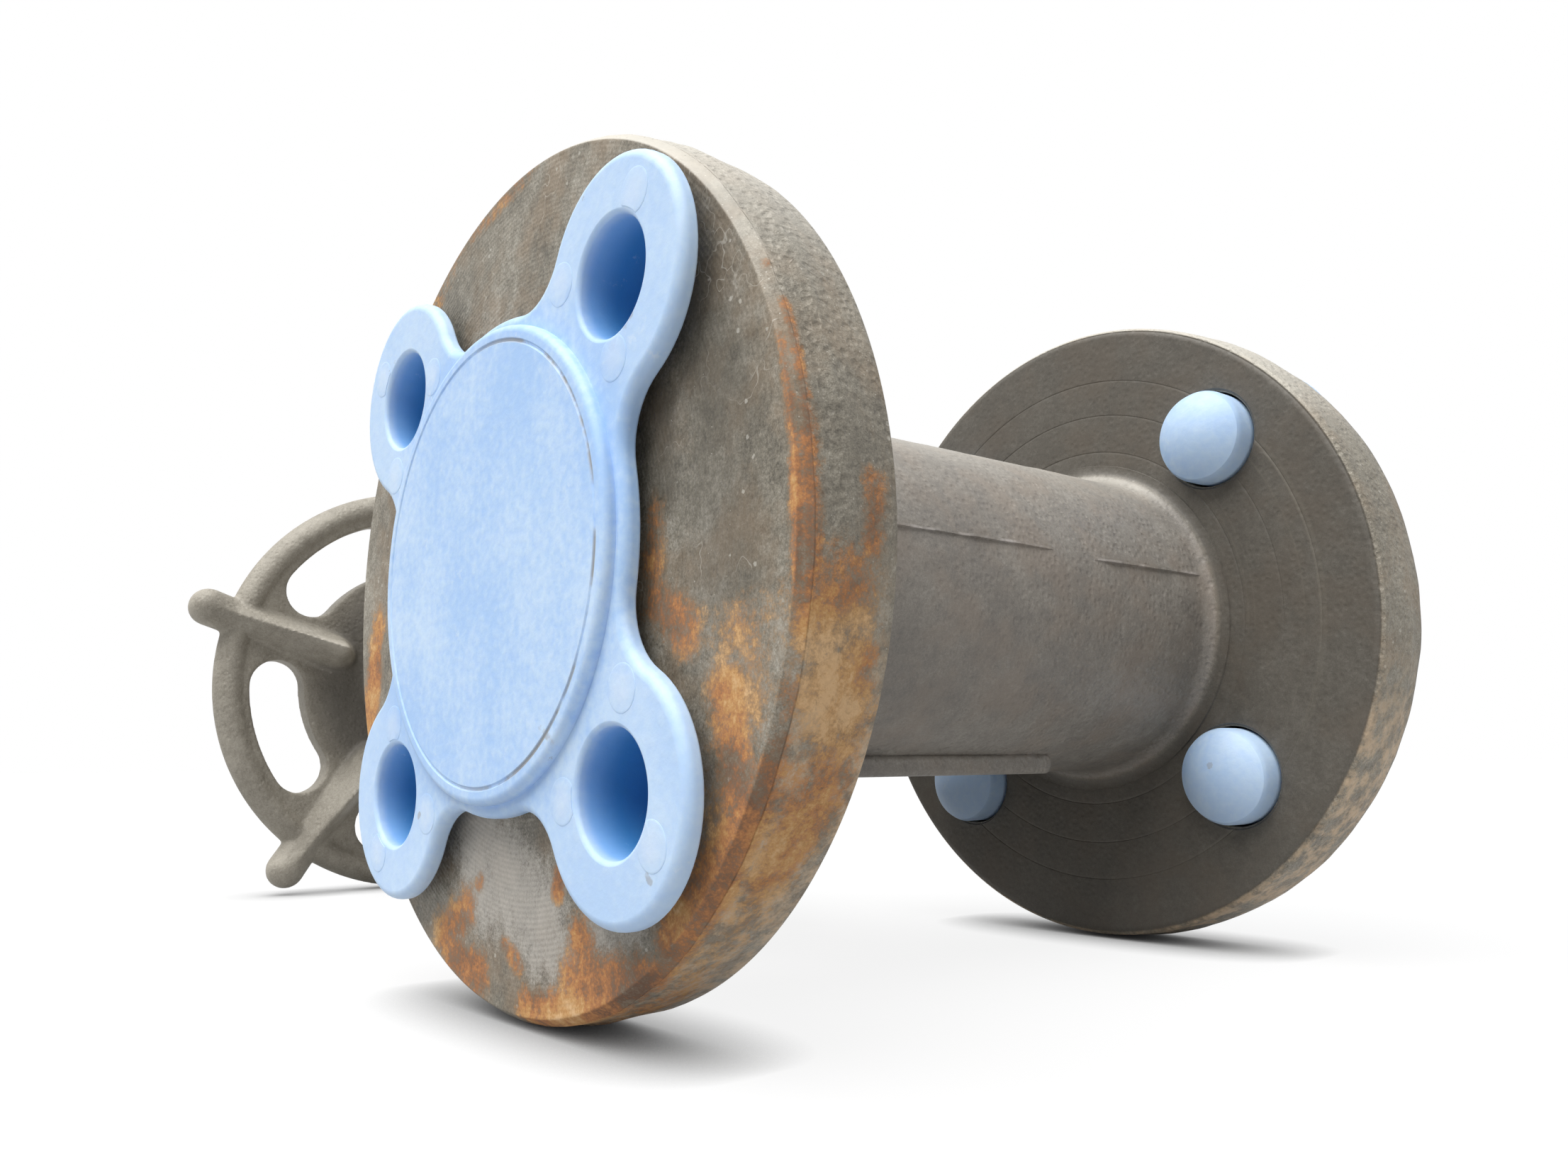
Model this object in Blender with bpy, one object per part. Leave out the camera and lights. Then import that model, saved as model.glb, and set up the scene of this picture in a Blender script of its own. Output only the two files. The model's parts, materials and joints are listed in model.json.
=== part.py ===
"""One-inch flanged gate valve with an outside screw and yoke, lying on its side.

Push-in plastic covers sit on both flanges, as on a valve that has been taken out of stock.

Valve frame: X runs along the pipe, Y along the stem towards the handwheel, and Z points up
as the valve lies. All lengths are in metres. The valve is closed: turning the wheel
anticlockwise, seen from its nut, lifts the stem and the wedge along +Y.
"""

import math

import bmesh
import bpy
from mathutils import Matrix, Vector

# Pipe flanges, one-inch class 150
FACE_TO_FACE = 0.1270
FLANGE_DIAMETER = 0.1080
FLANGE_THICKNESS = 0.0130
FLANGE_EDGE_CHAMFER = 0.0016
FLANGE_BACK_ROUND = 0.0018
RAISED_FACE_DIAMETER = 0.0508
RAISED_FACE_HEIGHT = 0.0016
TURNED_STEP_INSET = 0.0090
TURNED_STEP_DEPTH = 0.0002
BOLT_CIRCLE = 0.0794
BOLT_HOLE_DIAMETER = 0.0159
BOLT_COUNT = 4

# Body forging
PORT_DIAMETER = 0.0254
BARREL_DIAMETER = 0.0510
BARREL_FILLET = 0.0030
CHAMBER_WIDTH = 0.0360
CHAMBER_LOW = -0.0258
CHAMBER_HIGH = 0.0225
CHAMBER_FRONT = -0.0140
CHAMBER_ROUND = 0.0025
CHAMBER_WALL = 0.0065
FLASH_ANGLE = math.radians(14.5)
FLASH_HEIGHT = 0.0005
FLASH_WIDTH = 0.0010
FLASH_END_GAP = 0.0009
FLASH_BREAK = (0.0100, 0.0190)
BONNET_JOINT_HEIGHT = 0.0535
JOINT_LENGTH = 0.0540
JOINT_CORNER = 0.0080
JOINT_THICKNESS = 0.0110

# Wedge and seats
WEDGE_LAP = 0.0033
WEDGE_MID_THICKNESS = 0.0160
WEDGE_TAPER = math.radians(5.0)
WEDGE_PLAY = 0.0010
SEAT_WALL = 0.0029
SEAT_POCKET_DEPTH = 0.0035

# Stem
STEM_DIAMETER = 0.0127
STEM_LEAD = 0.0040
STEM_SHOW = 0.0080
STEM_END_CHAMFER = 0.0010
NECK_DIAMETER = 0.0100
TEE_HEIGHT = 0.0044
TEE_LENGTH = 0.0120
TEE_OVERHANG = 0.0040
TEE_LIP = 0.0025
TEE_SEAT = 0.0020
BACKSEAT_OVERHANG = 0.0022
BACKSEAT_THICKNESS = 0.0030

# Bonnet joint and stuffing box
GASKET_THICKNESS = 0.0020
GASKET_WIDTH = 0.0030
BONNET_THICKNESS = 0.0100
BACKSEAT_FLOOR = 0.0036
PACKING_COUNT = 5
PACKING_SECTION = 0.0045
STUFFING_WALL = 0.0050
FOLLOWER_ENTRY = 0.0060
FOLLOWER_COLLAR_THICKNESS = 0.0040
FOLLOWER_COLLAR_OVERHANG = 0.0017
GLAND_TAKE_UP = 0.0030
GLAND_THICKNESS = 0.0070
GLAND_RIM = 0.0045
STUD_DIAMETER = 0.0060
STUD_BOSS_RADIUS = 0.0065
STUD_NECK_GAP = 0.0012
STUD_ENTRY = 0.0120
STUD_SHOW = 0.0040
STUD_NUT_FLATS = 0.0100
STUD_NUT_HEIGHT = 0.0050
SCREW_DIAMETER = 0.0080
SCREW_HEAD_FLATS = 0.0130
SCREW_HEAD_HEIGHT = 0.0055
SCREW_ENTRY = 0.0085
SCREW_EDGE = 0.0070
SCREW_GASKET_GAP = 0.0024

# Yoke and stem nut
YOKE_ARM_THICKNESS = 0.0075
YOKE_ARM_DEPTH = 0.0140
YOKE_ARM_GAP = 0.0015
YOKE_ARM_ROUND = 0.0020
YOKE_HUB_LENGTH = 0.0160
YOKE_HUB_WALL = 0.0040
SLEEVE_THREAD_WALL = 0.0022
SLEEVE_DRIVE_STEP = 0.0004
SLEEVE_SHOULDER_STEP = 0.0006
SLEEVE_COLLAR_OVERHANG = 0.0035
SLEEVE_COLLAR_THICKNESS = 0.0050
RETAINER_THICKNESS = 0.0030
WHEEL_RUNNING_GAP = 0.0006

# Handwheel
WHEEL_HEIGHT = 0.1762
WHEEL_DIAMETER = 0.1015
RIM_THICKNESS = 0.0078
SPOKE_COUNT = 5
SPOKE_PHASE = math.radians(90.0)
SPOKE_DIAMETER = 0.0088
LUG_LENGTH = 0.00885
SPOKE_DROP = 0.0010
GUSSET_RISE = 0.0108
GUSSET_START = 0.0057
GUSSET_SLANT = 0.0063
GUSSET_WIDTH = 0.0102
GUSSET_CREST = 0.0016
WINDOW_WIDTH = 0.01275
WEB_THICKNESS = 0.0056
WINDOW_MARGIN = 0.0068
WHEEL_HUB_WALL = 0.0040
WHEEL_HUB_BELOW = 0.0130
WHEEL_HUB_ABOVE = 0.0066
WHEEL_NUT_FLATS = 0.0270
WHEEL_NUT_HEIGHT = 0.0070

# Flange covers
COVER_THICKNESS = 0.0022
COVER_TAB_RADIUS = 0.0145
COVER_DISC_DIAMETER = 0.0610
COVER_BLEND_RADIUS = 0.0080
COVER_EDGE_ROUND = 0.0010
CROWN_DIAMETER = 0.0580
CROWN_HEIGHT = 0.0014
CROWN_ROUND = 0.0010
CROWN_GROOVE_INSET = 0.0016
CROWN_GROOVE_WIDTH = 0.0005
CROWN_GROOVE_DEPTH = 0.0004
COVER_WALL = 0.0020
PEG_FIT = 0.0007
PEG_PROUD = 0.0057
PEG_DOME = 0.0028
PEG_WALL = 0.0014
PEG_END_WALL = 0.0022
SOCKET_TAPER = 0.0010
SOCKET_FLARE = 0.0009

# Gap that separate pieces keep where they seat on each other
CLEARANCE = 0.0003

# Facets round a full circle
FINE_STEPS = 36
PLAIN_STEPS = 24
SMALL_STEPS = 16
FASTENER_STEPS = 12
ARC_STEPS = 3
CUTTER_OVERRUN = 0.0020

# Sizes that follow from the ones above
FLANGE_RADIUS = FLANGE_DIAMETER / 2
EDGE_PLANE = FACE_TO_FACE / 2 - RAISED_FACE_HEIGHT
FLANGE_BACK = EDGE_PLANE - FLANGE_THICKNESS
BARREL_RADIUS = BARREL_DIAMETER / 2
PORT_RADIUS = PORT_DIAMETER / 2
STEM_RADIUS = STEM_DIAMETER / 2
STEM_BORE = STEM_RADIUS + CLEARANCE

SEAT_RADIUS = PORT_RADIUS + SEAT_WALL
WEDGE_RADIUS = PORT_RADIUS + WEDGE_LAP
CAVITY_RADIUS = WEDGE_RADIUS + WEDGE_PLAY
CAVITY_WIDTH = CHAMBER_WIDTH - 2 * CHAMBER_WALL
LIFT = WEDGE_RADIUS + PORT_RADIUS + CLEARANCE

TEE_SLOT_LOW = WEDGE_RADIUS + TEE_SEAT
TEE_LOW = TEE_SLOT_LOW + CLEARANCE
TEE_HIGH = TEE_LOW + TEE_HEIGHT
TEE_SLOT_HIGH = TEE_HIGH + CLEARANCE
TEE_HALF = NECK_DIAMETER / 2 + TEE_OVERHANG
WEDGE_TOP = TEE_SLOT_HIGH + TEE_LIP
WEDGE_BOSS_HALF = TEE_HALF + TEE_LIP

GASKET_LOW = BONNET_JOINT_HEIGHT + CLEARANCE
BONNET_LOW = GASKET_LOW + GASKET_THICKNESS + CLEARANCE
BONNET_HIGH = BONNET_LOW + BONNET_THICKNESS
BACKSEAT_RADIUS = STEM_RADIUS + BACKSEAT_OVERHANG
BACKSEAT_LOW = WEDGE_TOP + CLEARANCE
BACKSEAT_HIGH = BACKSEAT_LOW + BACKSEAT_THICKNESS
BACKSEAT_STOP = BACKSEAT_HIGH + LIFT + CLEARANCE
STUFFING_FLOOR = max(BACKSEAT_STOP, BONNET_LOW) + BACKSEAT_FLOOR
PACKING_RADIUS = STEM_BORE + PACKING_SECTION
STUFFING_RADIUS = PACKING_RADIUS + CLEARANCE
PACKING_PITCH = PACKING_SECTION + CLEARANCE
PACKING_LOW = STUFFING_FLOOR + CLEARANCE
FOLLOWER_LOW = PACKING_LOW + PACKING_COUNT * PACKING_PITCH
STUFFING_TOP = FOLLOWER_LOW + FOLLOWER_ENTRY
NECK_RADIUS = STUFFING_RADIUS + STUFFING_WALL
STUD_SPREAD = NECK_RADIUS + STUD_NECK_GAP + STUD_DIAMETER / 2
COLLAR_LOW = STUFFING_TOP + GLAND_TAKE_UP
FOLLOWER_TOP = COLLAR_LOW + FOLLOWER_COLLAR_THICKNESS
GLAND_LOW = FOLLOWER_TOP + CLEARANCE
GLAND_HIGH = GLAND_LOW + GLAND_THICKNESS
STUD_NUT_LOW = GLAND_HIGH + CLEARANCE
STUD_TOP = STUD_NUT_LOW + STUD_NUT_HEIGHT + STUD_SHOW
STUD_BOSS_TOP = STUFFING_TOP - FOLLOWER_ENTRY

WHEEL_HUB_LOW = WHEEL_HEIGHT - WHEEL_HUB_BELOW
WHEEL_HUB_HIGH = WHEEL_HEIGHT + WHEEL_HUB_ABOVE
RETAINER_HIGH = WHEEL_HUB_LOW - WHEEL_RUNNING_GAP
RETAINER_LOW = RETAINER_HIGH - RETAINER_THICKNESS
YOKE_HUB_HIGH = RETAINER_LOW - CLEARANCE
YOKE_HUB_LOW = YOKE_HUB_HIGH - YOKE_HUB_LENGTH
SLEEVE_THREAD_RADIUS = STEM_BORE + SLEEVE_THREAD_WALL
DRIVE_APOTHEM = SLEEVE_THREAD_RADIUS + SLEEVE_DRIVE_STEP
DRIVE_CORNER = DRIVE_APOTHEM / math.cos(math.pi / 6)
SLEEVE_RADIUS = DRIVE_CORNER + SLEEVE_SHOULDER_STEP
SLEEVE_BORE = SLEEVE_RADIUS + CLEARANCE
COLLAR_RADIUS = SLEEVE_RADIUS + SLEEVE_COLLAR_OVERHANG
COLLAR_POCKET = COLLAR_RADIUS + CLEARANCE
COLLAR_POCKET_LOW = YOKE_HUB_HIGH - SLEEVE_COLLAR_THICKNESS - 2 * CLEARANCE
YOKE_HUB_RADIUS = COLLAR_POCKET + YOKE_HUB_WALL
YOKE_INNER = NECK_RADIUS + YOKE_ARM_GAP
YOKE_OUTER = YOKE_INNER + YOKE_ARM_THICKNESS
WINDOW_LOW = STUFFING_TOP - FOLLOWER_ENTRY

WHEEL_NUT_LOW = WHEEL_HUB_HIGH + CLEARANCE
WHEEL_NUT_HIGH = WHEEL_NUT_LOW + WHEEL_NUT_HEIGHT
STEM_TOP = WHEEL_NUT_HIGH + STEM_SHOW
RIM_RADIUS = (WHEEL_DIAMETER - RIM_THICKNESS) / 2
RIM_INNER = RIM_RADIUS - RIM_THICKNESS / 2
WEB_RADIUS = RIM_INNER - WINDOW_WIDTH
SPOKE_REACH = WHEEL_DIAMETER / 2 + LUG_LENGTH

COVER_BACK = RAISED_FACE_HEIGHT + CLEARANCE
COVER_FRONT = COVER_BACK + COVER_THICKNESS
CROWN_FRONT = COVER_FRONT + CROWN_HEIGHT
PEG_RADIUS = (BOLT_HOLE_DIAMETER - PEG_FIT) / 2
SOCKET_RADIUS = PEG_RADIUS - PEG_WALL
PEG_TIP = FLANGE_THICKNESS + PEG_PROUD

GASKET_INNER = math.hypot(CAVITY_WIDTH / 2, CAVITY_RADIUS) + CLEARANCE
SCREW_REACH = GASKET_INNER + GASKET_WIDTH + SCREW_GASKET_GAP + SCREW_DIAMETER / 2 + CLEARANCE
SCREW_X = JOINT_LENGTH / 2 - SCREW_EDGE
SCREW_Z = math.sqrt(SCREW_REACH**2 - SCREW_X**2)
JOINT_DEPTH = 2 * (SCREW_Z + SCREW_EDGE)


# Shape helpers


def polar(radius, angle):
    """Point of a plane at a radius and an angle."""
    return (radius * math.cos(angle), radius * math.sin(angle))


def arc(centre, radius, start, sweep, steps):
    """Points along an arc, with both of its ends."""
    turns = (start + sweep * step / steps for step in range(steps + 1))
    return [(centre[0] + radius * math.cos(t), centre[1] + radius * math.sin(t)) for t in turns]


def polygon(sides, apothem):
    """Corners of a regular polygon, from the distance of its flats."""
    corner = apothem / math.cos(math.pi / sides)
    return [polar(corner, 2 * math.pi * side / sides) for side in range(sides)]


def rounded_box(low, high, radius):
    """Outline of a rectangle between two corners, with rounded corners."""
    centres = (
        (high[0] - radius, high[1] - radius),
        (low[0] + radius, high[1] - radius),
        (low[0] + radius, low[1] + radius),
        (high[0] - radius, low[1] + radius),
    )
    outline = []
    for quarter, centre in enumerate(centres):
        outline += arc(centre, radius, quarter * math.pi / 2, math.pi / 2, ARC_STEPS)
    return outline


def distinct(outline):
    """An outline without a point that repeats the one before it."""
    kept = []
    for point in outline:
        if not kept or math.dist(point, kept[-1]) > 1e-6:
            kept.append(point)
    if math.dist(kept[0], kept[-1]) < 1e-6:
        kept.pop()
    return kept


def piece(name, mesh):
    """Object of a mesh under construction, with its faces turned outwards and shaded smooth."""
    bmesh.ops.recalc_face_normals(mesh, faces=mesh.faces)
    data = bpy.data.meshes.new(name)
    mesh.to_mesh(data)
    mesh.free()
    made = bpy.data.objects.new(name, data)
    bpy.context.collection.objects.link(made)
    return made


def turned(name, profile, axis, steps):
    """Solid of revolution about X or Y, from an outline of (radius, station) points.

    An outline that starts and ends on the axis stays open there.
    """
    mesh = bmesh.new()
    if axis == "X":
        points = [mesh.verts.new((station, radius, 0.0)) for radius, station in profile]
        direction = (1.0, 0.0, 0.0)
    else:
        points = [mesh.verts.new((radius, station, 0.0)) for radius, station in profile]
        direction = (0.0, 1.0, 0.0)
    edges = [mesh.edges.new(pair) for pair in zip(points, points[1:])]
    if profile[0][0] > 0:
        edges.append(mesh.edges.new((points[-1], points[0])))
    bmesh.ops.spin(
        mesh, geom=points + edges, axis=direction, angle=2 * math.pi, steps=steps, use_merge=True
    )
    bmesh.ops.remove_doubles(mesh, verts=mesh.verts, dist=1e-7)
    return piece(name, mesh)


def prism(name, outline, axis, low, high, ease=0.0, both=False):
    """Outline extruded along X, Y or Z, with the edge at its low end or both ends rounded by ease.

    The outline's points are (y, z) along X, (x, z) along Y and (x, y) along Z.
    """
    place = {
        "X": lambda u, v: (low, u, v),
        "Y": lambda u, v: (u, low, v),
        "Z": lambda u, v: (u, v, low),
    }[axis]
    direction = Vector([1.0 if axis == name_of else 0.0 for name_of in "XYZ"])
    mesh = bmesh.new()
    base = mesh.faces.new([mesh.verts.new(place(*point)) for point in distinct(outline)])
    grown = bmesh.ops.extrude_face_region(mesh, geom=[base])["geom"]
    moved = [item for item in grown if isinstance(item, bmesh.types.BMVert)]
    bmesh.ops.translate(mesh, verts=moved, vec=direction * (high - low))
    if ease:
        rim = [e for e in mesh.edges if all(abs(v.co.dot(direction) - low) < 1e-7 for v in e.verts)]
        if both:
            rim += [e for e in mesh.edges if all(abs(v.co.dot(direction) - high) < 1e-7 for v in e.verts)]
        bmesh.ops.bevel(
            mesh, geom=rim, offset=ease, segments=2, profile=0.5, affect="EDGES", clamp_overlap=True
        )
    return piece(name, mesh)


def moved(made, location=(0.0, 0.0, 0.0), turn=0.0, about="Y"):
    """The object with its mesh turned about an axis and then shifted."""
    made.data.transform(Matrix.Translation(location) @ Matrix.Rotation(turn, 4, about))
    return made


def combined(target, tools, operation):
    """The target after one Boolean with all the tools; the tools are used up."""
    group = bpy.data.collections.new("tools")
    for tool in tools:
        group.objects.link(tool)
    modifier = target.modifiers.new(operation, "BOOLEAN")
    modifier.operation = operation
    modifier.solver = "EXACT"
    modifier.operand_type = "COLLECTION"
    modifier.collection = group
    graph = bpy.context.evaluated_depsgraph_get()
    result = bpy.data.meshes.new_from_object(target.evaluated_get(graph))
    target.modifiers.clear()
    target.data = result
    for tool in tools:
        bpy.data.objects.remove(tool)
    bpy.data.collections.remove(group)
    return target


def joined(target, *tools):
    """Union of the target and the tools."""
    return combined(target, tools, "UNION")


def cut(target, *tools):
    """The target with the tools taken away."""
    return combined(target, tools, "DIFFERENCE")


def rod(name, radius, axis, low, high, steps):
    """Plain round bar along an axis."""
    return turned(name, [(0.0, high), (radius, high), (radius, low), (0.0, low)], axis, steps)


def washer(name, inner, outer, axis, low, high, steps):
    """Plain ring along an axis."""
    return turned(name, [(inner, high), (outer, high), (outer, low), (inner, low)], axis, steps)


def hexagon_nut(name, flats, bore, low, high):
    """Hexagon along Y with corners chamfered on both faces and a plain bore."""
    corner = flats / 2 / math.cos(math.pi / 6)
    blank = prism(name, polygon(6, flats / 2), "Y", low, high)
    outside = corner + CUTTER_OVERRUN
    slope = (outside - flats / 2) * math.tan(math.radians(30))
    for face, inward in ((high, -1), (low, 1)):
        past = face - inward * CUTTER_OVERRUN
        ring = [(flats / 2, face), (outside, face + inward * slope), (outside, past), (flats / 2, past)]
        cut(blank, turned("corner_cutter", ring, "Y", FASTENER_STEPS))
    if bore:
        through = rod("bore_cutter", bore, "Y", low - CUTTER_OVERRUN, high + CUTTER_OVERRUN, PLAIN_STEPS)
        cut(blank, through)
    return blank


def finish(name, colour, roughness, metallic):
    """Material of one piece or of a set of like pieces."""
    material = bpy.data.materials.new(name)
    material.use_nodes = True
    shader = material.node_tree.nodes["Principled BSDF"]
    shader.inputs["Base Color"].default_value = (*colour, 1.0)
    shader.inputs["Roughness"].default_value = roughness
    shader.inputs["Metallic"].default_value = metallic
    return material


def fitted(made, parent, material, location=(0.0, 0.0, 0.0)):
    """Puts a finished piece under its parent with its material and smooth shading."""
    made.parent = parent
    made.location = location
    made.data.materials.clear()
    made.data.materials.append(material)
    made.data.shade_smooth()
    made.data.set_sharp_from_angle(angle=math.radians(35))
    return made


def axis_empty(name, parent=None, turn=(0.0, 0.0, 0.0)):
    """Empty that carries the pieces of one body."""
    made = bpy.data.objects.new(name, None)
    bpy.context.collection.objects.link(made)
    made.parent = parent
    made.rotation_euler = turn
    made.empty_display_size = FLANGE_DIAMETER
    return made


# Body, seats and wedge


def barrel_profile():
    """Outline of both flanges and the barrel as (radius, station), from +X to -X."""
    raised = RAISED_FACE_DIAMETER / 2
    step = FLANGE_RADIUS - TURNED_STEP_INSET
    outer_face = EDGE_PLANE - TURNED_STEP_DEPTH
    rim_back = (FLANGE_RADIUS - FLANGE_BACK_ROUND, FLANGE_BACK + FLANGE_BACK_ROUND)
    back_edge = arc(rim_back, FLANGE_BACK_ROUND, 0.0, -math.pi / 2, 2)
    fillet_centre = (BARREL_RADIUS + BARREL_FILLET, FLANGE_BACK - BARREL_FILLET)
    fillet = arc(fillet_centre, BARREL_FILLET, math.pi / 2, math.pi / 2, ARC_STEPS)
    half = [
        (0.0, FACE_TO_FACE / 2),
        (raised, FACE_TO_FACE / 2),
        (raised, EDGE_PLANE),
        (step, EDGE_PLANE),
        (step, outer_face),
        (FLANGE_RADIUS - FLANGE_EDGE_CHAMFER, outer_face),
        (FLANGE_RADIUS, outer_face - FLANGE_EDGE_CHAMFER),
        *back_edge,
        *fillet,
    ]
    return half + [(radius, -station) for radius, station in reversed(half)]


def bolt_places():
    """Centres of the flange bolt holes as (y, z), straddling the stem."""
    pitch = 2 * math.pi / BOLT_COUNT
    return [polar(BOLT_CIRCLE / 2, pitch * (index + 0.5)) for index in range(BOLT_COUNT)]


def cavity_outline(radius, top):
    """U shape in (y, z): a half circle about the port with straight sides up to a height."""
    return [(top, -radius), (top, radius), *arc((0.0, 0.0), radius, math.pi / 2, math.pi, 24)]


def valve_body():
    """Forging with both flanges, the wedge chamber and the bonnet joint, bored through."""
    body = turned("valve_body", barrel_profile(), "X", FINE_STEPS)
    half_width = CHAMBER_WIDTH / 2
    chamber = prism(
        "chamber_block",
        rounded_box((-half_width, CHAMBER_LOW), (half_width, CHAMBER_HIGH), 2 * CHAMBER_ROUND),
        "Y",
        CHAMBER_FRONT,
        BONNET_JOINT_HEIGHT - JOINT_THICKNESS / 2,
        ease=CHAMBER_ROUND,
    )
    joint = prism(
        "joint_block", joint_outline(), "Y", BONNET_JOINT_HEIGHT - JOINT_THICKNESS, BONNET_JOINT_HEIGHT
    )
    joined(body, chamber, joint, *flash_ridges())
    past = FACE_TO_FACE / 2 + CUTTER_OVERRUN
    port = rod("port_cutter", PORT_RADIUS, "X", -past, past, PLAIN_STEPS)
    cavity = prism(
        "cavity_cutter",
        cavity_outline(CAVITY_RADIUS, BONNET_JOINT_HEIGHT + CUTTER_OVERRUN),
        "X",
        -CAVITY_WIDTH / 2,
        CAVITY_WIDTH / 2,
    )
    pocket_end = CAVITY_WIDTH / 2 + SEAT_POCKET_DEPTH
    pockets = rod("pocket_cutter", SEAT_RADIUS + CLEARANCE, "X", -pocket_end, pocket_end, PLAIN_STEPS)
    cut(body, port, cavity, pockets, *bolt_cutters(), *tapped_cutters())
    return body


def flash_ridges():
    """Trimmed flash that the forging dies left along the front of the barrel."""
    ridges = []
    half = FLASH_WIDTH / 2
    top = BARREL_RADIUS + FLASH_HEIGHT
    root = BARREL_RADIUS - FLASH_WIDTH
    end = FLANGE_BACK - FLASH_END_GAP
    for low, high in ((-end, FLASH_BREAK[0]), (FLASH_BREAK[1], end)):
        section = [(-root, -half), (-root, half), (-top, half / 2), (-top, -half / 2)]
        ridge = prism("flash_ridge", section, "X", low, high)
        ridges.append(moved(ridge, turn=-FLASH_ANGLE, about="X"))
    return ridges


def joint_outline():
    """Outline in (x, z) that the body and the bonnet share at their joint."""
    corner = (JOINT_LENGTH / 2, JOINT_DEPTH / 2)
    return rounded_box((-corner[0], -corner[1]), corner, JOINT_CORNER)


def bolt_cutters():
    """Drills for the bolt holes of both flanges."""
    radius = BOLT_HOLE_DIAMETER / 2
    cutters = []
    for side in (-1, 1):
        ends = sorted((side * (FLANGE_BACK - CUTTER_OVERRUN), side * (EDGE_PLANE + CUTTER_OVERRUN)))
        for y, z in bolt_places():
            cutters.append(moved(rod("bolt_cutter", radius, "X", *ends, SMALL_STEPS), (0.0, y, z)))
    return cutters


def screw_places():
    """Centres of the bonnet screws as (x, z)."""
    return [(x, z) for x in (-SCREW_X, SCREW_X) for z in (-SCREW_Z, SCREW_Z)]


def tapped_cutters():
    """Drills for the screw holes in the body's side of the bonnet joint."""
    low = BONNET_JOINT_HEIGHT - SCREW_ENTRY - CLEARANCE
    high = BONNET_JOINT_HEIGHT + CUTTER_OVERRUN
    radius = SCREW_DIAMETER / 2 + CLEARANCE
    return [
        moved(rod("screw_cutter", radius, "Y", low, high, FASTENER_STEPS), (x, 0.0, z))
        for x, z in screw_places()
    ]


def wedge_face(height):
    """Half thickness of the tapered wedge at a height on the stem axis."""
    return WEDGE_MID_THICKNESS / 2 + height * math.tan(WEDGE_TAPER)


def seat_ring(name, side):
    """Ring pressed into the body, its inner face sloping with the wedge."""
    face = 0.0
    back = CAVITY_WIDTH / 2 + SEAT_POCKET_DEPTH - CLEARANCE
    ring = washer(name, PORT_RADIUS, SEAT_RADIUS, "X", face, back, PLAIN_STEPS)
    for vertex in ring.data.vertices:
        if vertex.co.x < back / 2:
            vertex.co.x = wedge_face(vertex.co.y) + CLEARANCE
    if side < 0:
        ring.data.transform(Matrix.Rotation(math.pi, 4, "Y"))
    return ring


def wedge_disc():
    """Tapered gate with a slotted boss that hangs on the head of the stem."""
    shoulder = WEDGE_RADIUS / 2
    outline = [
        (WEDGE_TOP, -WEDGE_BOSS_HALF),
        (WEDGE_TOP, WEDGE_BOSS_HALF),
        (WEDGE_RADIUS, WEDGE_BOSS_HALF),
        (shoulder, WEDGE_RADIUS),
        *arc((0.0, 0.0), WEDGE_RADIUS, math.pi / 2, math.pi, 24),
        (shoulder, -WEDGE_RADIUS),
        (WEDGE_RADIUS, -WEDGE_BOSS_HALF),
    ]
    wedge = prism("wedge_disc", outline, "X", -1.0, 1.0)
    for vertex in wedge.data.vertices:
        vertex.co.x = math.copysign(wedge_face(vertex.co.y), vertex.co.x)
    past = CAVITY_WIDTH
    head_half = TEE_HALF + CLEARANCE
    neck_half = NECK_DIAMETER / 2 + CLEARANCE
    top = WEDGE_TOP + CUTTER_OVERRUN
    slot = [
        (TEE_SLOT_LOW, -head_half),
        (TEE_SLOT_HIGH, -head_half),
        (TEE_SLOT_HIGH, -neck_half),
        (top, -neck_half),
        (top, neck_half),
        (TEE_SLOT_HIGH, neck_half),
        (TEE_SLOT_HIGH, head_half),
        (TEE_SLOT_LOW, head_half),
    ]
    return cut(wedge, prism("tee_cutter", slot, "X", -past, past))


def stem():
    """Stem with its T head, backseat collar and long screwed end."""
    neck = NECK_DIAMETER / 2
    waist = TEE_HIGH - TEE_HEIGHT / 2
    profile = [
        (0.0, STEM_TOP),
        (STEM_RADIUS - STEM_END_CHAMFER, STEM_TOP),
        (STEM_RADIUS, STEM_TOP - STEM_END_CHAMFER),
        (STEM_RADIUS, BACKSEAT_HIGH),
        (BACKSEAT_RADIUS, BACKSEAT_HIGH - BACKSEAT_OVERHANG),
        (BACKSEAT_RADIUS, BACKSEAT_LOW),
        (neck, BACKSEAT_LOW),
        (neck, waist),
        (0.0, waist),
    ]
    shaft = turned("stem", profile, "Y", PLAIN_STEPS)
    half = TEE_LENGTH / 2
    head = prism("tee_head", rounded_box((-half, -TEE_HALF), (half, TEE_HALF), half / 3), "Y", TEE_LOW, TEE_HIGH)
    return joined(shaft, head)


# Bonnet, packing and gland


def bonnet_yoke():
    """Bonnet flange, stuffing box and yoke in one forging."""
    bonnet = prism("bonnet_yoke", joint_outline(), "Y", BONNET_LOW, BONNET_HIGH)
    neck = rod("neck", NECK_RADIUS, "Y", BONNET_LOW + CLEARANCE, STUFFING_TOP, PLAIN_STEPS)
    hub = rod("yoke_hub", YOKE_HUB_RADIUS, "Y", YOKE_HUB_LOW, YOKE_HUB_HIGH, PLAIN_STEPS)
    bosses = [
        moved(
            rod("stud_boss", STUD_BOSS_RADIUS, "Y", BONNET_LOW + CLEARANCE, STUD_BOSS_TOP, SMALL_STEPS),
            (0.0, 0.0, side * STUD_SPREAD),
        )
        for side in (-1, 1)
    ]
    joined(bonnet, neck, yoke_frame(), hub, *bosses)
    return cut(bonnet, *bonnet_cutters())


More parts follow.
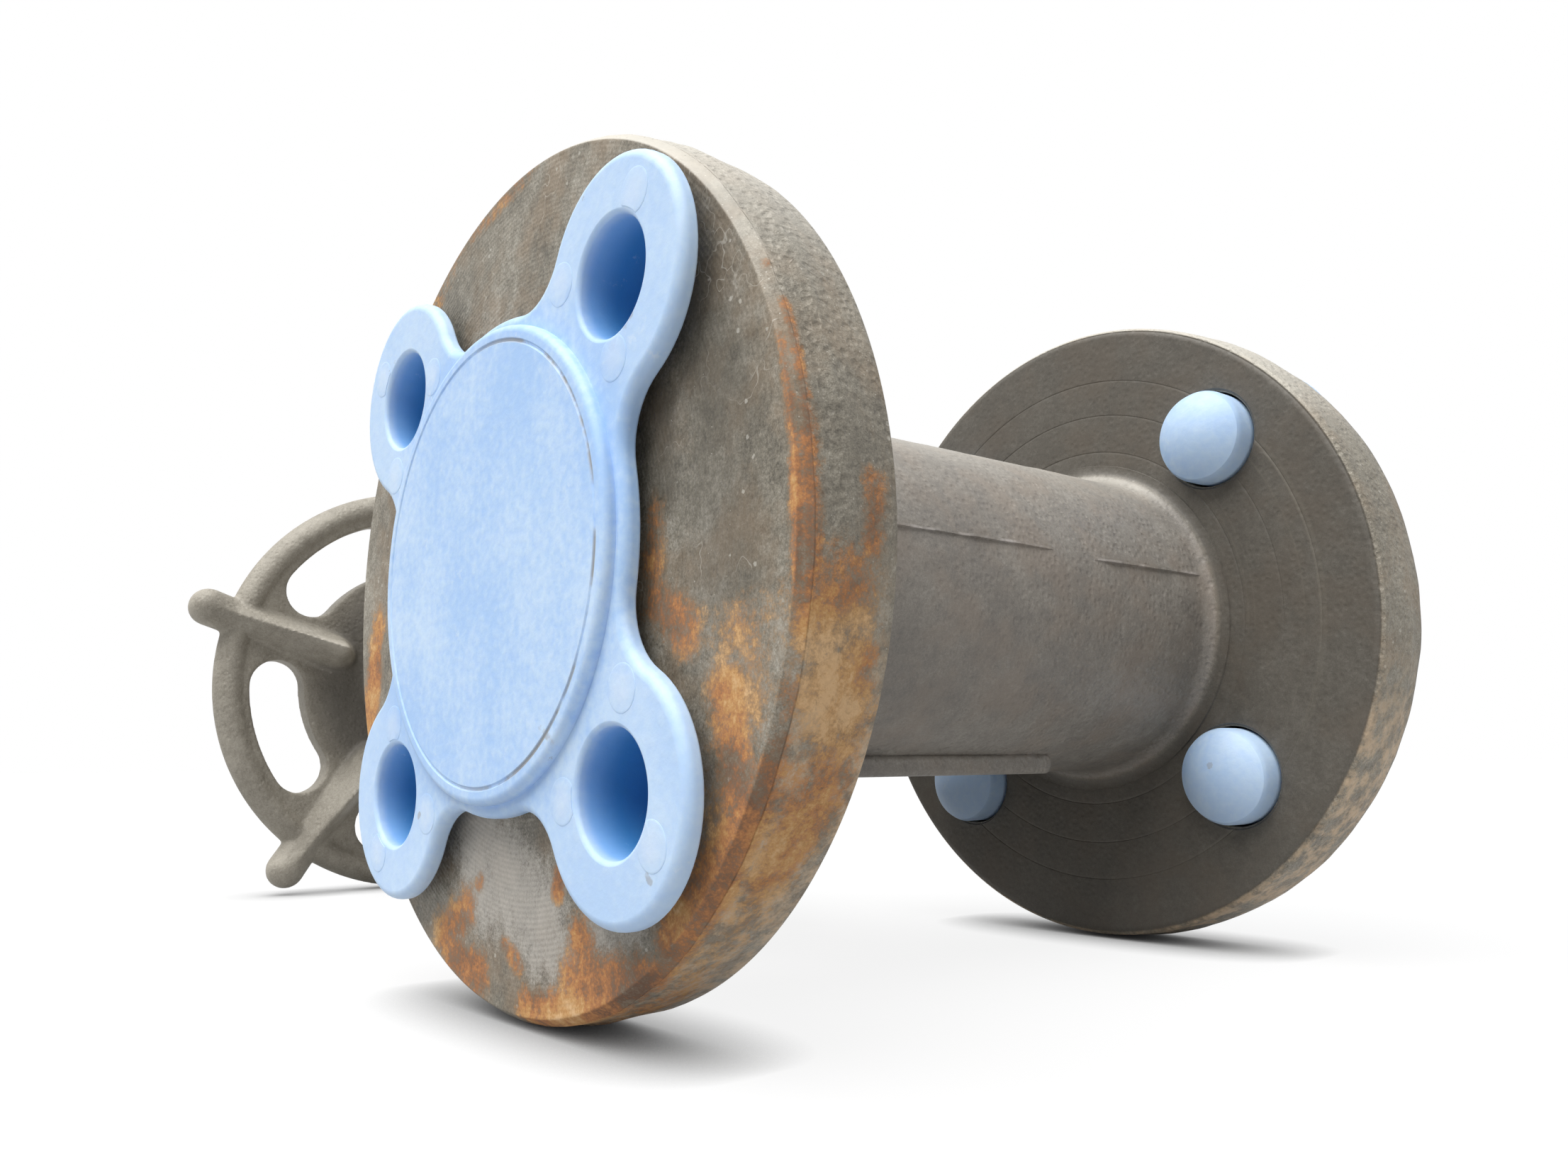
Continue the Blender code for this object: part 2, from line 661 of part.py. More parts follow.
def yoke_frame():
    """Pair of arms that stand beside the gland and meet at the yoke hub, as one bent bar."""
    low = BONNET_HIGH - BONNET_THICKNESS / 2
    root = JOINT_LENGTH / 2 - CLEARANCE
    foot = (STUFFING_RADIUS + NECK_RADIUS) / 2
    bend = YOKE_ARM_THICKNESS
    window_top = YOKE_HUB_LOW + bend / 2
    low_bend = (YOKE_INNER - bend / 2, WINDOW_LOW + bend / 2)
    right = [
        (foot, low),
        (root, low),
        (root, BONNET_HIGH),
        (YOKE_OUTER, WINDOW_LOW),
        (YOKE_OUTER, YOKE_HUB_LOW - bend),
        (YOKE_HUB_RADIUS - bend / 2, YOKE_HUB_HIGH - YOKE_HUB_LENGTH / 3),
    ]
    inside = [
        *arc((YOKE_INNER - bend, window_top - bend), bend, math.pi / 2, -math.pi / 2, ARC_STEPS),
        *arc(low_bend, bend / 2, 0.0, -math.pi / 2, ARC_STEPS),
        (foot, WINDOW_LOW),
    ]
    left = [(-x, y) for x, y in reversed(inside + right)]
    half = YOKE_ARM_DEPTH / 2
    return prism("yoke_frame", right + left + inside, "Z", -half, half, ease=YOKE_ARM_ROUND, both=True)


def bonnet_cutters():
    """Bores of the stem, the stuffing box, the stem nut, the screws and the gland studs."""
    past = CUTTER_OVERRUN
    recess = max(BACKSEAT_STOP, BONNET_LOW)
    seat_run = BACKSEAT_OVERHANG + CLEARANCE
    stem_bore = [
        (0.0, YOKE_HUB_HIGH + past),
        (COLLAR_POCKET, YOKE_HUB_HIGH + past),
        (COLLAR_POCKET, COLLAR_POCKET_LOW),
        (SLEEVE_BORE, COLLAR_POCKET_LOW),
        (SLEEVE_BORE, YOKE_HUB_LOW - past),
        (0.0, YOKE_HUB_LOW - past),
    ]
    stuffing_bore = [
        (0.0, STUFFING_TOP + past),
        (STUFFING_RADIUS, STUFFING_TOP + past),
        (STUFFING_RADIUS, STUFFING_FLOOR),
        (STEM_BORE, STUFFING_FLOOR),
        (STEM_BORE, recess),
        (BACKSEAT_RADIUS + CLEARANCE, recess - seat_run),
        (BACKSEAT_RADIUS + CLEARANCE, BONNET_LOW - past),
        (0.0, BONNET_LOW - past),
    ]
    cutters = [
        turned("nut_bore_cutter", stem_bore, "Y", PLAIN_STEPS),
        turned("stuffing_cutter", stuffing_bore, "Y", PLAIN_STEPS),
    ]
    hole = SCREW_DIAMETER / 2 + CLEARANCE
    for x, z in screw_places():
        drill = rod("screw_cutter", hole, "Y", BONNET_LOW - past, BONNET_HIGH + past, FASTENER_STEPS)
        cutters.append(moved(drill, (x, 0.0, z)))
    stud_hole = STUD_DIAMETER / 2 + CLEARANCE
    for side in (-1, 1):
        low = STUD_BOSS_TOP - STUD_ENTRY - CLEARANCE
        drill = rod("stud_cutter", stud_hole, "Y", low, STUD_BOSS_TOP + past, FASTENER_STEPS)
        cutters.append(moved(drill, (0.0, 0.0, side * STUD_SPREAD)))
    return cutters


def bonnet_gasket():
    """Flat ring between the body and the bonnet, inside the screws."""
    high = GASKET_LOW + GASKET_THICKNESS
    return washer(
        "bonnet_gasket", GASKET_INNER, GASKET_INNER + GASKET_WIDTH, "Y", GASKET_LOW, high, PLAIN_STEPS
    )


def bonnet_screw(name):
    """Hexagon-head cap screw with its head on the bonnet flange, drawn at the joint's height."""
    seat = BONNET_HIGH + CLEARANCE
    head = hexagon_nut(name, SCREW_HEAD_FLATS, 0.0, seat, seat + SCREW_HEAD_HEIGHT)
    radius = SCREW_DIAMETER / 2
    low = BONNET_JOINT_HEIGHT - SCREW_ENTRY
    shank = rod("shank", radius, "Y", low, seat + SCREW_HEAD_HEIGHT / 2, FASTENER_STEPS)
    return joined(head, shank)


def packing_ring(name, index):
    """One braided packing ring, as a plain square section."""
    low = PACKING_LOW + index * PACKING_PITCH
    return washer(name, STEM_BORE, PACKING_RADIUS, "Y", low, low + PACKING_SECTION, SMALL_STEPS)


def gland_follower():
    """Sleeve that presses the packing, with a collar outside the stuffing box."""
    collar = PACKING_RADIUS + FOLLOWER_COLLAR_OVERHANG
    profile = [
        (STEM_BORE, FOLLOWER_TOP),
        (collar, FOLLOWER_TOP),
        (collar, COLLAR_LOW),
        (PACKING_RADIUS, COLLAR_LOW),
        (PACKING_RADIUS, FOLLOWER_LOW),
        (STEM_BORE, FOLLOWER_LOW),
    ]
    return turned("gland_follower", profile, "Y", PLAIN_STEPS)


def gland_flange():
    """Lozenge plate that the two gland studs pull down on the follower."""
    waist = PACKING_RADIUS + GLAND_RIM
    end = STUD_DIAMETER / 2 + GLAND_RIM
    lean = math.acos((waist - end) / STUD_SPREAD)
    outline = []
    for centre, radius, middle, spread in (
        ((0.0, STUD_SPREAD), end, math.pi / 2, lean),
        ((0.0, 0.0), waist, math.pi, math.pi / 2 - lean),
        ((0.0, -STUD_SPREAD), end, 3 * math.pi / 2, lean),
        ((0.0, 0.0), waist, 2 * math.pi, math.pi / 2 - lean),
    ):
        outline += arc(centre, radius, middle - spread, 2 * spread, 2 * ARC_STEPS)
    plate = prism("gland_flange", outline, "Y", GLAND_LOW, GLAND_HIGH)
    past = CUTTER_OVERRUN
    drills = [rod("bore_cutter", STEM_BORE, "Y", GLAND_LOW - past, GLAND_HIGH + past, PLAIN_STEPS)]
    hole = STUD_DIAMETER / 2 + CLEARANCE
    for side in (-1, 1):
        drill = rod("stud_cutter", hole, "Y", GLAND_LOW - past, GLAND_HIGH + past, FASTENER_STEPS)
        drills.append(moved(drill, (0.0, 0.0, side * STUD_SPREAD)))
    return cut(plate, *drills)


def gland_stud(name):
    """Stud screwed into a boss of the bonnet."""
    chamfer = STUD_DIAMETER / 8
    radius = STUD_DIAMETER / 2
    low = STUD_BOSS_TOP - STUD_ENTRY
    profile = [
        (0.0, STUD_TOP),
        (radius - chamfer, STUD_TOP),
        (radius, STUD_TOP - chamfer),
        (radius, low),
        (0.0, low),
    ]
    return turned(name, profile, "Y", FASTENER_STEPS)


def gland_nut(name):
    """Hexagon nut on a gland stud."""
    bore = STUD_DIAMETER / 2 + CLEARANCE
    return hexagon_nut(name, STUD_NUT_FLATS, bore, STUD_NUT_LOW, STUD_NUT_LOW + STUD_NUT_HEIGHT)


# Stem nut and handwheel


def yoke_sleeve():
    """Stem nut: a collar held in the yoke, a hexagon that drives the wheel and a screwed end."""
    collar_low = COLLAR_POCKET_LOW + CLEARANCE
    collar_high = collar_low + SLEEVE_COLLAR_THICKNESS
    top = WHEEL_NUT_HIGH + CLEARANCE
    shoulder = WHEEL_HUB_LOW - CLEARANCE
    profile = [
        (STEM_BORE, top),
        (SLEEVE_THREAD_RADIUS, top),
        (SLEEVE_THREAD_RADIUS, shoulder - CLEARANCE),
        (SLEEVE_RADIUS, shoulder - CLEARANCE),
        (SLEEVE_RADIUS, collar_high),
        (COLLAR_RADIUS, collar_high),
        (COLLAR_RADIUS, collar_low),
        (SLEEVE_RADIUS, collar_low),
        (SLEEVE_RADIUS, YOKE_HUB_LOW),
        (STEM_BORE, YOKE_HUB_LOW),
    ]
    sleeve = turned("yoke_sleeve", profile, "Y", PLAIN_STEPS)
    drive = prism(
        "drive_hexagon", polygon(6, DRIVE_APOTHEM), "Y", shoulder - 2 * CLEARANCE, WHEEL_HUB_HIGH - CLEARANCE
    )
    inner = (STEM_BORE + SLEEVE_THREAD_RADIUS) / 2
    past = CUTTER_OVERRUN
    cut(drive, rod("drive_cutter", inner, "Y", shoulder - past, WHEEL_HUB_HIGH + past, PLAIN_STEPS))
    return joined(sleeve, drive)


def sleeve_retainer():
    """Ring screwed on the yoke hub that keeps the stem nut's collar in its pocket."""
    outer = YOKE_HUB_RADIUS - CLEARANCE
    return washer("sleeve_retainer", SLEEVE_BORE, outer, "Y", RETAINER_LOW, RETAINER_HIGH, PLAIN_STEPS)


def window_outline(start, sweep):
    """Kidney window of the wheel in (x, z), between the web and the rim."""
    inner = WEB_RADIUS
    outer = RIM_INNER
    middle = (inner + outer) / 2
    cap = (outer - inner) / 2
    side = math.asin((WINDOW_MARGIN + cap) / middle)
    low = start + side
    turn = sweep - 2 * side
    outline = arc((0.0, 0.0), outer, low, turn, 6)
    outline += arc(polar(middle, low + turn), cap, low + turn, math.pi, 5)
    outline += arc((0.0, 0.0), inner, low + turn, -turn, 5)
    outline += arc(polar(middle, low), cap, low + math.pi, math.pi, 5)
    return outline


def spoke_bar():
    """Round spoke along +X that ends in a rounded lug outside the rim."""
    radius = SPOKE_DIAMETER / 2
    tip = arc((SPOKE_REACH - radius, 0.0), radius, 0.0, math.pi / 2, 3)
    profile = [(z, x) for x, z in tip] + [(radius, SLEEVE_RADIUS), (0.0, SLEEVE_RADIUS)]
    return turned("spoke_bar", [(0.0, SPOKE_REACH), *profile[1:]], "X", 10)


def spoke_gusset(start):
    """Tapered rib along +X on the valve side of a spoke, low at the rim and high by the hub."""
    foot = GUSSET_WIDTH / 2
    crest = GUSSET_CREST / 2
    high = -WEB_THICKNESS / 2 - GUSSET_RISE
    low = -SPOKE_DROP - SPOKE_DIAMETER / 2
    mesh = bmesh.new()
    for side in (-1, 1):
        mesh.verts.new((start, 0.0, side * foot))
        mesh.verts.new((start + GUSSET_SLANT, high, side * crest))
        mesh.verts.new((RIM_RADIUS, 0.0, side * SPOKE_DIAMETER / 2))
        mesh.verts.new((RIM_RADIUS, low, side * crest))
    bmesh.ops.convex_hull(mesh, input=mesh.verts)
    return piece("spoke_gusset", mesh)


def handwheel():
    """Cast wheel: hub, web with kidney windows, round rim, and ribbed spokes that run out as lugs."""
    half = WEB_THICKNESS / 2
    hub_radius = DRIVE_CORNER + CLEARANCE + WHEEL_HUB_WALL
    rim_section = arc((RIM_RADIUS, WHEEL_HEIGHT), RIM_THICKNESS / 2, 0.0, -2 * math.pi, 8)[:-1]
    wheel = turned("handwheel", rim_section, "Y", FINE_STEPS)
    disc = rod("web", RIM_RADIUS, "Y", WHEEL_HEIGHT - half, WHEEL_HEIGHT + half, FINE_STEPS)
    pitch = 2 * math.pi / SPOKE_COUNT
    angles = [SPOKE_PHASE + pitch * index for index in range(SPOKE_COUNT)]
    windows = [
        prism("window", window_outline(angle, pitch), "Y", WHEEL_HEIGHT - 2 * half, WHEEL_HEIGHT + 2 * half)
        for angle in angles
    ]
    cut(disc, *windows)
    hub = rod("hub", hub_radius, "Y", WHEEL_HUB_LOW, WHEEL_HUB_HIGH, PLAIN_STEPS)
    height = (0.0, WHEEL_HEIGHT - SPOKE_DROP, 0.0)
    spokes = [moved(spoke_bar(), height, turn=-angle) for angle in angles]
    middle = (0.0, WHEEL_HEIGHT, 0.0)
    gussets = [moved(spoke_gusset(hub_radius + GUSSET_START), middle, turn=-angle) for angle in angles]
    joined(wheel, disc, hub, *spokes, *gussets)
    past = CUTTER_OVERRUN
    drive = polygon(6, DRIVE_APOTHEM + CLEARANCE)
    return cut(wheel, prism("drive_cutter", drive, "Y", WHEEL_HUB_LOW - past, WHEEL_HUB_HIGH + past))


def wheel_nut():
    """Nut that holds the wheel on the stem nut."""
    return hexagon_nut(
        "wheel_nut", WHEEL_NUT_FLATS, SLEEVE_THREAD_RADIUS + CLEARANCE, WHEEL_NUT_LOW, WHEEL_NUT_HIGH
    )


# Flange covers


def cover_outline():
    """Disc with a round tab over each bolt hole, in (y, z), each tab blended into the disc."""
    disc = COVER_DISC_DIAMETER / 2
    reach = BOLT_CIRCLE / 2
    to_blend = disc + COVER_BLEND_RADIUS
    tab_to_blend = COVER_TAB_RADIUS + COVER_BLEND_RADIUS
    swing = math.acos((reach**2 + to_blend**2 - tab_to_blend**2) / (2 * reach * to_blend))
    tilt = math.acos((reach**2 + tab_to_blend**2 - to_blend**2) / (2 * reach * tab_to_blend))
    pitch = 2 * math.pi / BOLT_COUNT
    blend_sweep = swing + tilt - math.pi
    tab_sweep = 2 * (math.pi - tilt)
    outline = []
    for index in range(BOLT_COUNT):
        angle = pitch * (index + 0.5)
        first = polar(to_blend, angle - swing)
        last = polar(to_blend, angle + swing)
        into_tab = angle - swing + math.pi
        outline += arc(first, COVER_BLEND_RADIUS, into_tab, blend_sweep, ARC_STEPS)
        outline += arc(polar(reach, angle), COVER_TAB_RADIUS, angle - tab_sweep / 2, tab_sweep, 10)
        outline += arc(last, COVER_BLEND_RADIUS, angle + swing - math.pi - blend_sweep, blend_sweep, ARC_STEPS)
        outline += arc((0.0, 0.0), disc, angle + swing, pitch - 2 * swing, 3)
    return outline


def crown_profile():
    """Raised middle of the cover as (radius, station), with its rounded edge and ring groove."""
    radius = CROWN_DIAMETER / 2
    edge = arc((radius - CROWN_ROUND, CROWN_FRONT - CROWN_ROUND), CROWN_ROUND, math.pi / 2, -math.pi / 2, 2)
    groove = radius - CROWN_ROUND - CROWN_GROOVE_INSET
    half = CROWN_GROOVE_WIDTH / 2
    return [
        (0.0, -CROWN_FRONT),
        (groove - half, -CROWN_FRONT),
        (groove, CROWN_GROOVE_DEPTH - CROWN_FRONT),
        (groove + half, -CROWN_FRONT),
        *[(r, -station) for r, station in edge],
        (radius, -(COVER_BACK + COVER_THICKNESS / 2)),
        (0.0, -(COVER_BACK + COVER_THICKNESS / 2)),
    ]


def peg_profile():
    """Peg as (radius, station), from the back of its tab to its domed end."""
    shoulder = PEG_TIP - PEG_DOME
    bulge = (PEG_RADIUS**2 + PEG_DOME**2) / (2 * PEG_DOME)
    half_sweep = math.asin(PEG_RADIUS / bulge)
    dome = arc((PEG_TIP - bulge, 0.0), bulge, 0.0, half_sweep, 3)
    root = -(COVER_BACK + COVER_THICKNESS / 2)
    return [(0.0, PEG_TIP), *[(r, s) for s, r in dome[1:-1]], (PEG_RADIUS, shoulder), (PEG_RADIUS, root), (0.0, root)]


def socket_profile():
    """Hollow of a peg as (radius, station), flared where it opens on the tab."""
    past = -COVER_FRONT - CUTTER_OVERRUN
    bottom = PEG_TIP - PEG_DOME - PEG_END_WALL
    end = SOCKET_RADIUS - SOCKET_TAPER
    return [
        (0.0, bottom),
        (end / 2, bottom),
        (end, bottom - end / 2),
        (SOCKET_RADIUS, -COVER_FRONT + SOCKET_FLARE),
        (SOCKET_RADIUS + SOCKET_FLARE, -COVER_FRONT),
        (SOCKET_RADIUS + SOCKET_FLARE, past),
        (0.0, past),
    ]


def flange_cover(name):
    """Push-in cover drawn for the -X flange, with X = 0 on the plane of the bolt faces."""
    cover = prism(name, cover_outline(), "X", -COVER_FRONT, -COVER_BACK, ease=COVER_EDGE_ROUND)
    crown = turned("crown", crown_profile(), "X", FINE_STEPS)
    pegs = [moved(turned("peg", peg_profile(), "X", SMALL_STEPS), (0.0, y, z)) for y, z in bolt_places()]
    joined(cover, crown, *pegs)
    hollow = rod(
        "hollow_cutter",
        RAISED_FACE_DIAMETER / 2 - COVER_WALL,
        "X",
        -(CROWN_FRONT - COVER_WALL),
        CUTTER_OVERRUN - COVER_BACK,
        PLAIN_STEPS,
    )
    sockets = [
        moved(turned("socket_cutter", socket_profile(), "X", SMALL_STEPS), (0.0, y, z))
        for y, z in bolt_places()
    ]
    return cut(cover, hollow, *sockets)


# Assembly


def rest_roll():
    """Angle that the valve rolls about the pipe until the wheel's rim meets the floor."""
    span = math.hypot(WHEEL_HEIGHT, RIM_RADIUS)
    level = FLANGE_RADIUS - RIM_THICKNESS / 2
    return math.asin(level / span) - math.atan2(RIM_RADIUS, WHEEL_HEIGHT)


def stand_on_origin(root):
    """Moves the valve until the middle of its box's underside is at the origin."""
    bpy.context.view_layer.update()
    corners = [
        made.matrix_world @ vertex.co
        for made in bpy.context.collection.objects
        if made.type == "MESH"
        for vertex in made.data.vertices
    ]
    low = Vector(map(min, zip(*corners)))
    high = Vector(map(max, zip(*corners)))
    middle = (low + high) / 2
    root.location -= Vector((middle.x, middle.y, low.z))
    bpy.context.view_layer.update()


def assemble_valve(root):
    """Pieces that stay still: body, seats, bonnet, packing and gland."""
    forged = finish("forged_steel", (0.085, 0.075, 0.066), 0.62, 0.75)
    bright = finish("seat_alloy", (0.42, 0.40, 0.37), 0.35, 1.0)
    graphite = finish("graphite", (0.035, 0.035, 0.037), 0.7, 0.2)
    plated = finish("plated_steel", (0.32, 0.31, 0.28), 0.42, 0.95)
    fitted(valve_body(), root, forged)
    fitted(seat_ring("inlet_seat_ring", -1), root, bright)
    fitted(seat_ring("outlet_seat_ring", 1), root, bright)
    fitted(bonnet_yoke(), root, forged)
    fitted(bonnet_gasket(), root, graphite)
    for index, (x, z) in enumerate(screw_places(), start=1):
        fitted(bonnet_screw(f"bonnet_screw_{index}"), root, plated, (x, 0.0, z))
    for index in range(PACKING_COUNT):
        fitted(packing_ring(f"packing_ring_{index + 1}", index), root, graphite)
    fitted(gland_follower(), root, plated)
    fitted(gland_flange(), root, forged)
    for index, side in enumerate((-1, 1), start=1):
        place = (0.0, 0.0, side * STUD_SPREAD)
        fitted(gland_stud(f"gland_stud_{index}"), root, plated, place)
        fitted(gland_nut(f"gland_nut_{index}"), root, plated, place)
    fitted(sleeve_retainer(), root, forged)


def assemble_moving(root):
    """Wheel and stem on the stem axis, and the covers on the pipe axis."""
    cast = finish("cast_wheel", (0.075, 0.068, 0.060), 0.58, 0.6)
    bronze = finish("stem_nut_bronze", (0.36, 0.24, 0.10), 0.4, 1.0)
    bright = finish("stem_steel", (0.45, 0.44, 0.42), 0.3, 1.0)
    plastic = finish("blue_polyethylene", (0.24, 0.45, 0.84), 0.45, 0.0)
    wheel_axis = axis_empty("wheel_axis", root)
    fitted(handwheel(), wheel_axis, cast)
    fitted(yoke_sleeve(), wheel_axis, bronze)
    fitted(wheel_nut(), wheel_axis, cast)
    stem_axis = axis_empty("stem_axis", root)
    fitted(stem(), stem_axis, bright)
    fitted(wedge_disc(), stem_axis, bright)
    for name, turn in (("inlet", 0.0), ("outlet", math.pi)):
        cover_axis = axis_empty(f"{name}_cover_axis", root, turn=(0.0, 0.0, turn))
        fitted(flange_cover(f"{name}_flange_cover"), cover_axis, plastic, (-EDGE_PLANE, 0.0, 0.0))


def main():
    """Clears the scene and builds the valve as it lies on the floor."""
    for old in list(bpy.data.objects):
        bpy.data.objects.remove(old)
    root = axis_empty("pipe_axis", turn=(-rest_roll(), 0.0, 0.0))
    assemble_valve(root)
    assemble_moving(root)
    stand_on_origin(root)


main()
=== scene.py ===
"""Looks of a one-inch flanged gate valve, lying on its side with plastic covers on its flanges.

Lengths are in metres. Pieces are drawn in the valve frame, with X along the pipe, Y along the
stem towards the handwheel and Z up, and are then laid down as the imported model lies.
"""

import json
import logging
import math
from dataclasses import dataclass
from enum import Enum
from itertools import product
from typing import Callable, Iterable, Optional, Sequence, Union

import bmesh
import bpy
from mathutils import Matrix, Vector, noise


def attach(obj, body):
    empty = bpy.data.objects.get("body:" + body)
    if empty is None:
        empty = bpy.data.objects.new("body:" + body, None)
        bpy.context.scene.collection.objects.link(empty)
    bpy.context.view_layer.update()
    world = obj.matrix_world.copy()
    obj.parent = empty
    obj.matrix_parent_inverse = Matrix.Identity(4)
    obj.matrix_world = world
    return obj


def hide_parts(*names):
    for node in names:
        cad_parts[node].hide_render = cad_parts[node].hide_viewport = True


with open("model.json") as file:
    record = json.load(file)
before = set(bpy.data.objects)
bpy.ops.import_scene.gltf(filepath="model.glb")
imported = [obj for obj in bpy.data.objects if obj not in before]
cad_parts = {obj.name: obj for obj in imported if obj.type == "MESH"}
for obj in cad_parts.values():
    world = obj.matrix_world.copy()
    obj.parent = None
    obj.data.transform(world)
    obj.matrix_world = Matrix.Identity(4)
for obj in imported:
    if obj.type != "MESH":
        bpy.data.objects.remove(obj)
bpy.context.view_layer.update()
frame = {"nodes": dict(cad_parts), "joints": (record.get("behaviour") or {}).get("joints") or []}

logging.basicConfig(level=logging.INFO, format="%(message)s")
LOG = logging.getLogger("valve")

MM = 0.001
TURN = 2 * math.pi
QUARTERS = tuple(math.pi / 4 + quarter * math.pi / 2 for quarter in range(4))
PHOTO_SIZE = (2212, 1659)

Pair = tuple[float, float]
Outline = list[Pair]
Thing = bpy.types.Object
Socket = bpy.types.NodeSocket
Material = bpy.types.Material
Colour = tuple[float, float, float]
Feed = Union["Value", Socket, float, int, Sequence[float]]


def lie_of_valve() -> Matrix:
    """Placement of the valve on the floor, read from the wheel's hinge.

    Returns:
        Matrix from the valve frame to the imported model's frame.
    """
    hinge = next(joint for joint in frame["joints"] if joint["name"] == "wheel_turn")
    stem_way = Vector(hinge["axis"]).normalized()
    pipe_way = Vector((1.0, 0.0, 0.0))
    lie = Matrix((pipe_way, stem_way, pipe_way.cross(stem_way))).transposed().to_4x4()
    lie.translation = Vector(hinge["pos_m"])
    return lie


LIE = lie_of_valve()


class Axis(Enum):
    """Axis of the valve frame that a shape is turned about or drawn along."""

    PIPE = 0
    STEM = 1
    UP = 2

    def place(self, along: float, u: float, v: float) -> tuple[float, float, float]:
        """Point at a station along the axis, with the other two coordinates in order."""
        point = [u, v]
        point.insert(self.value, along)
        return tuple(point)


# Outlines


def polar(radius: float, angle: float) -> Pair:
    """Point of a plane at a radius and an angle."""
    return (radius * math.cos(angle), radius * math.sin(angle))


def arc(centre: Pair, radius: float, start: float, sweep: float, steps: int) -> Outline:
    """Points along an arc, with both of its ends."""
    turns = [start + sweep * step / steps for step in range(steps + 1)]
    return [(centre[0] + radius * math.cos(t), centre[1] + radius * math.sin(t)) for t in turns]


def rounded_box(half_u: float, half_v: float, radius: float, middle: Pair = (0.0, 0.0)) -> Outline:
    """Outline of a rectangle about a middle, with rounded corners."""
    outline: Outline = []
    for quarter, (u, v) in enumerate(((1, 1), (-1, 1), (-1, -1), (1, -1))):
        centre = (middle[0] + u * (half_u - radius), middle[1] + v * (half_v - radius))
        outline += arc(centre, radius, quarter * math.pi / 2, math.pi / 2, 8)
    return outline


def polygon(sides: int, apothem: float) -> Outline:
    """Corners of a regular polygon, from the distance of its flats."""
    corner = apothem / math.cos(math.pi / sides)
    return [polar(corner, TURN * side / sides) for side in range(sides)]


def graded(at: float, points: Sequence[Pair]) -> float:
    """Value along a line through (place, value) points, level beyond its ends."""
    if at <= points[0][0]:
        return points[0][1]
    for (start, low), (stop, high) in zip(points, points[1:]):
        if at <= stop:
            return low + (high - low) * (at - start) / (stop - start)
    return points[-1][1]


# Mesh tools


def piece(name: str, mesh: bmesh.types.BMesh) -> Thing:
    """Object of a mesh under construction, with its faces turned outwards."""
    bmesh.ops.recalc_face_normals(mesh, faces=mesh.faces)
    data = bpy.data.meshes.new(name)
    mesh.to_mesh(data)
    mesh.free()
    made = bpy.data.objects.new(name, data)
    bpy.context.scene.collection.objects.link(made)
    return made


def turned(name: str, profile: Outline, axis: Axis, steps: int = 96) -> Thing:
    """Solid of revolution from an outline of (radius, station) points.

    Args:
        name: Name of the object.
        profile: Outline that starts and ends on the axis, or closes on itself off the axis.
        axis: Axis that it turns about.
        steps: Facets round the circle.

    Returns:
        The closed body.
    """
    mesh = bmesh.new()
    rings = []
    for radius, station in profile:
        count = steps if radius > 1e-9 else 1
        spots = [polar(radius, TURN * step / steps) for step in range(count)]
        rings.append([mesh.verts.new(axis.place(station, u, v)) for u, v in spots])
    pairs = list(zip(rings, rings[1:]))
    if profile[0][0] > 1e-9:
        pairs.append((rings[-1], rings[0]))
    for first, second in pairs:
        for step in range(steps):
            after = (step + 1) % steps
            corners = (
                first[step % len(first)],
                first[after % len(first)],
                second[after % len(second)],
                second[step % len(second)],
            )
            distinct = list(dict.fromkeys(corners))
            if len(distinct) > 2:
                mesh.faces.new(distinct)
    return piece(name, mesh)


def lofted(name: str, loops: Sequence[tuple[Outline, float]], axis: Axis) -> Thing:
    """Closed body through outlines of equal length at stations along an axis."""
    mesh = bmesh.new()
    rings = [[mesh.verts.new(axis.place(at, u, v)) for u, v in outline] for outline, at in loops]
    count = len(rings[0])
    for first, second in zip(rings, rings[1:]):
        for step in range(count):
            after = (step + 1) % count
            mesh.faces.new((first[step], first[after], second[after], second[step]))
    mesh.faces.new(rings[0])
    mesh.faces.new(rings[-1])
    return piece(name, mesh)


def eased(
    name: str,
    inset: Callable[[float], Outline],
    axis: Axis,
    ends: Pair,
    rounds: Pair,
    steps: int = 5,
) -> Thing:
    """Outline drawn out along an axis with rounded end edges.

    Args:
        name: Name of the object.
        inset: Gives the outline moved inwards by a distance.
        axis: Axis that it is drawn along.
        ends: Low and high station.
        rounds: Radius of the edge at the low and at the high end.
        steps: Facets across each rounded edge.

    Returns:
        The closed body.
    """
    quarter = [math.pi / 2 * step / steps for step in range(steps + 1)]
    low, high = ends
    first, last = rounds
    loops = [(inset(first * (1 - math.sin(a))), low + first * (1 - math.cos(a))) for a in quarter]
    if not first:
        loops = loops[-1:]
    tail = [(inset(last * (1 - math.cos(a))), high - last * (1 - math.sin(a))) for a in quarter]
    loops += tail if last else tail[:1]
    return lofted(name, loops, axis)


def block(
    name: str,
    halves: Pair,
    corner: float,
    ends: Pair,
    rounds: Pair,
    middle: Pair = (0.0, 0.0),
) -> Thing:
    """Box along the stem axis with rounded corners and end edges.

    Args:
        name: Name of the object.
        halves: Half of its length along the pipe and of its height.
        corner: Radius of its corners.
        ends: Low and high station.
        rounds: Radius of the edge at the low and at the high end.
        middle: Where its middle lies across the stem.

    Returns:
        The closed body.
    """

    def inset(depth: float) -> Outline:
        """Outline moved inwards."""
        half_u, half_v = (half - depth for half in halves)
        return rounded_box(half_u, half_v, corner - depth, middle)

    return eased(name, inset, Axis.STEM, ends, rounds)


def rod(name: str, radius: float, axis: Axis, low: float, high: float, steps: int = 64) -> Thing:
    """Plain round bar along an axis."""
    return turned(name, [(0.0, high), (radius, high), (radius, low), (0.0, low)], axis, steps)


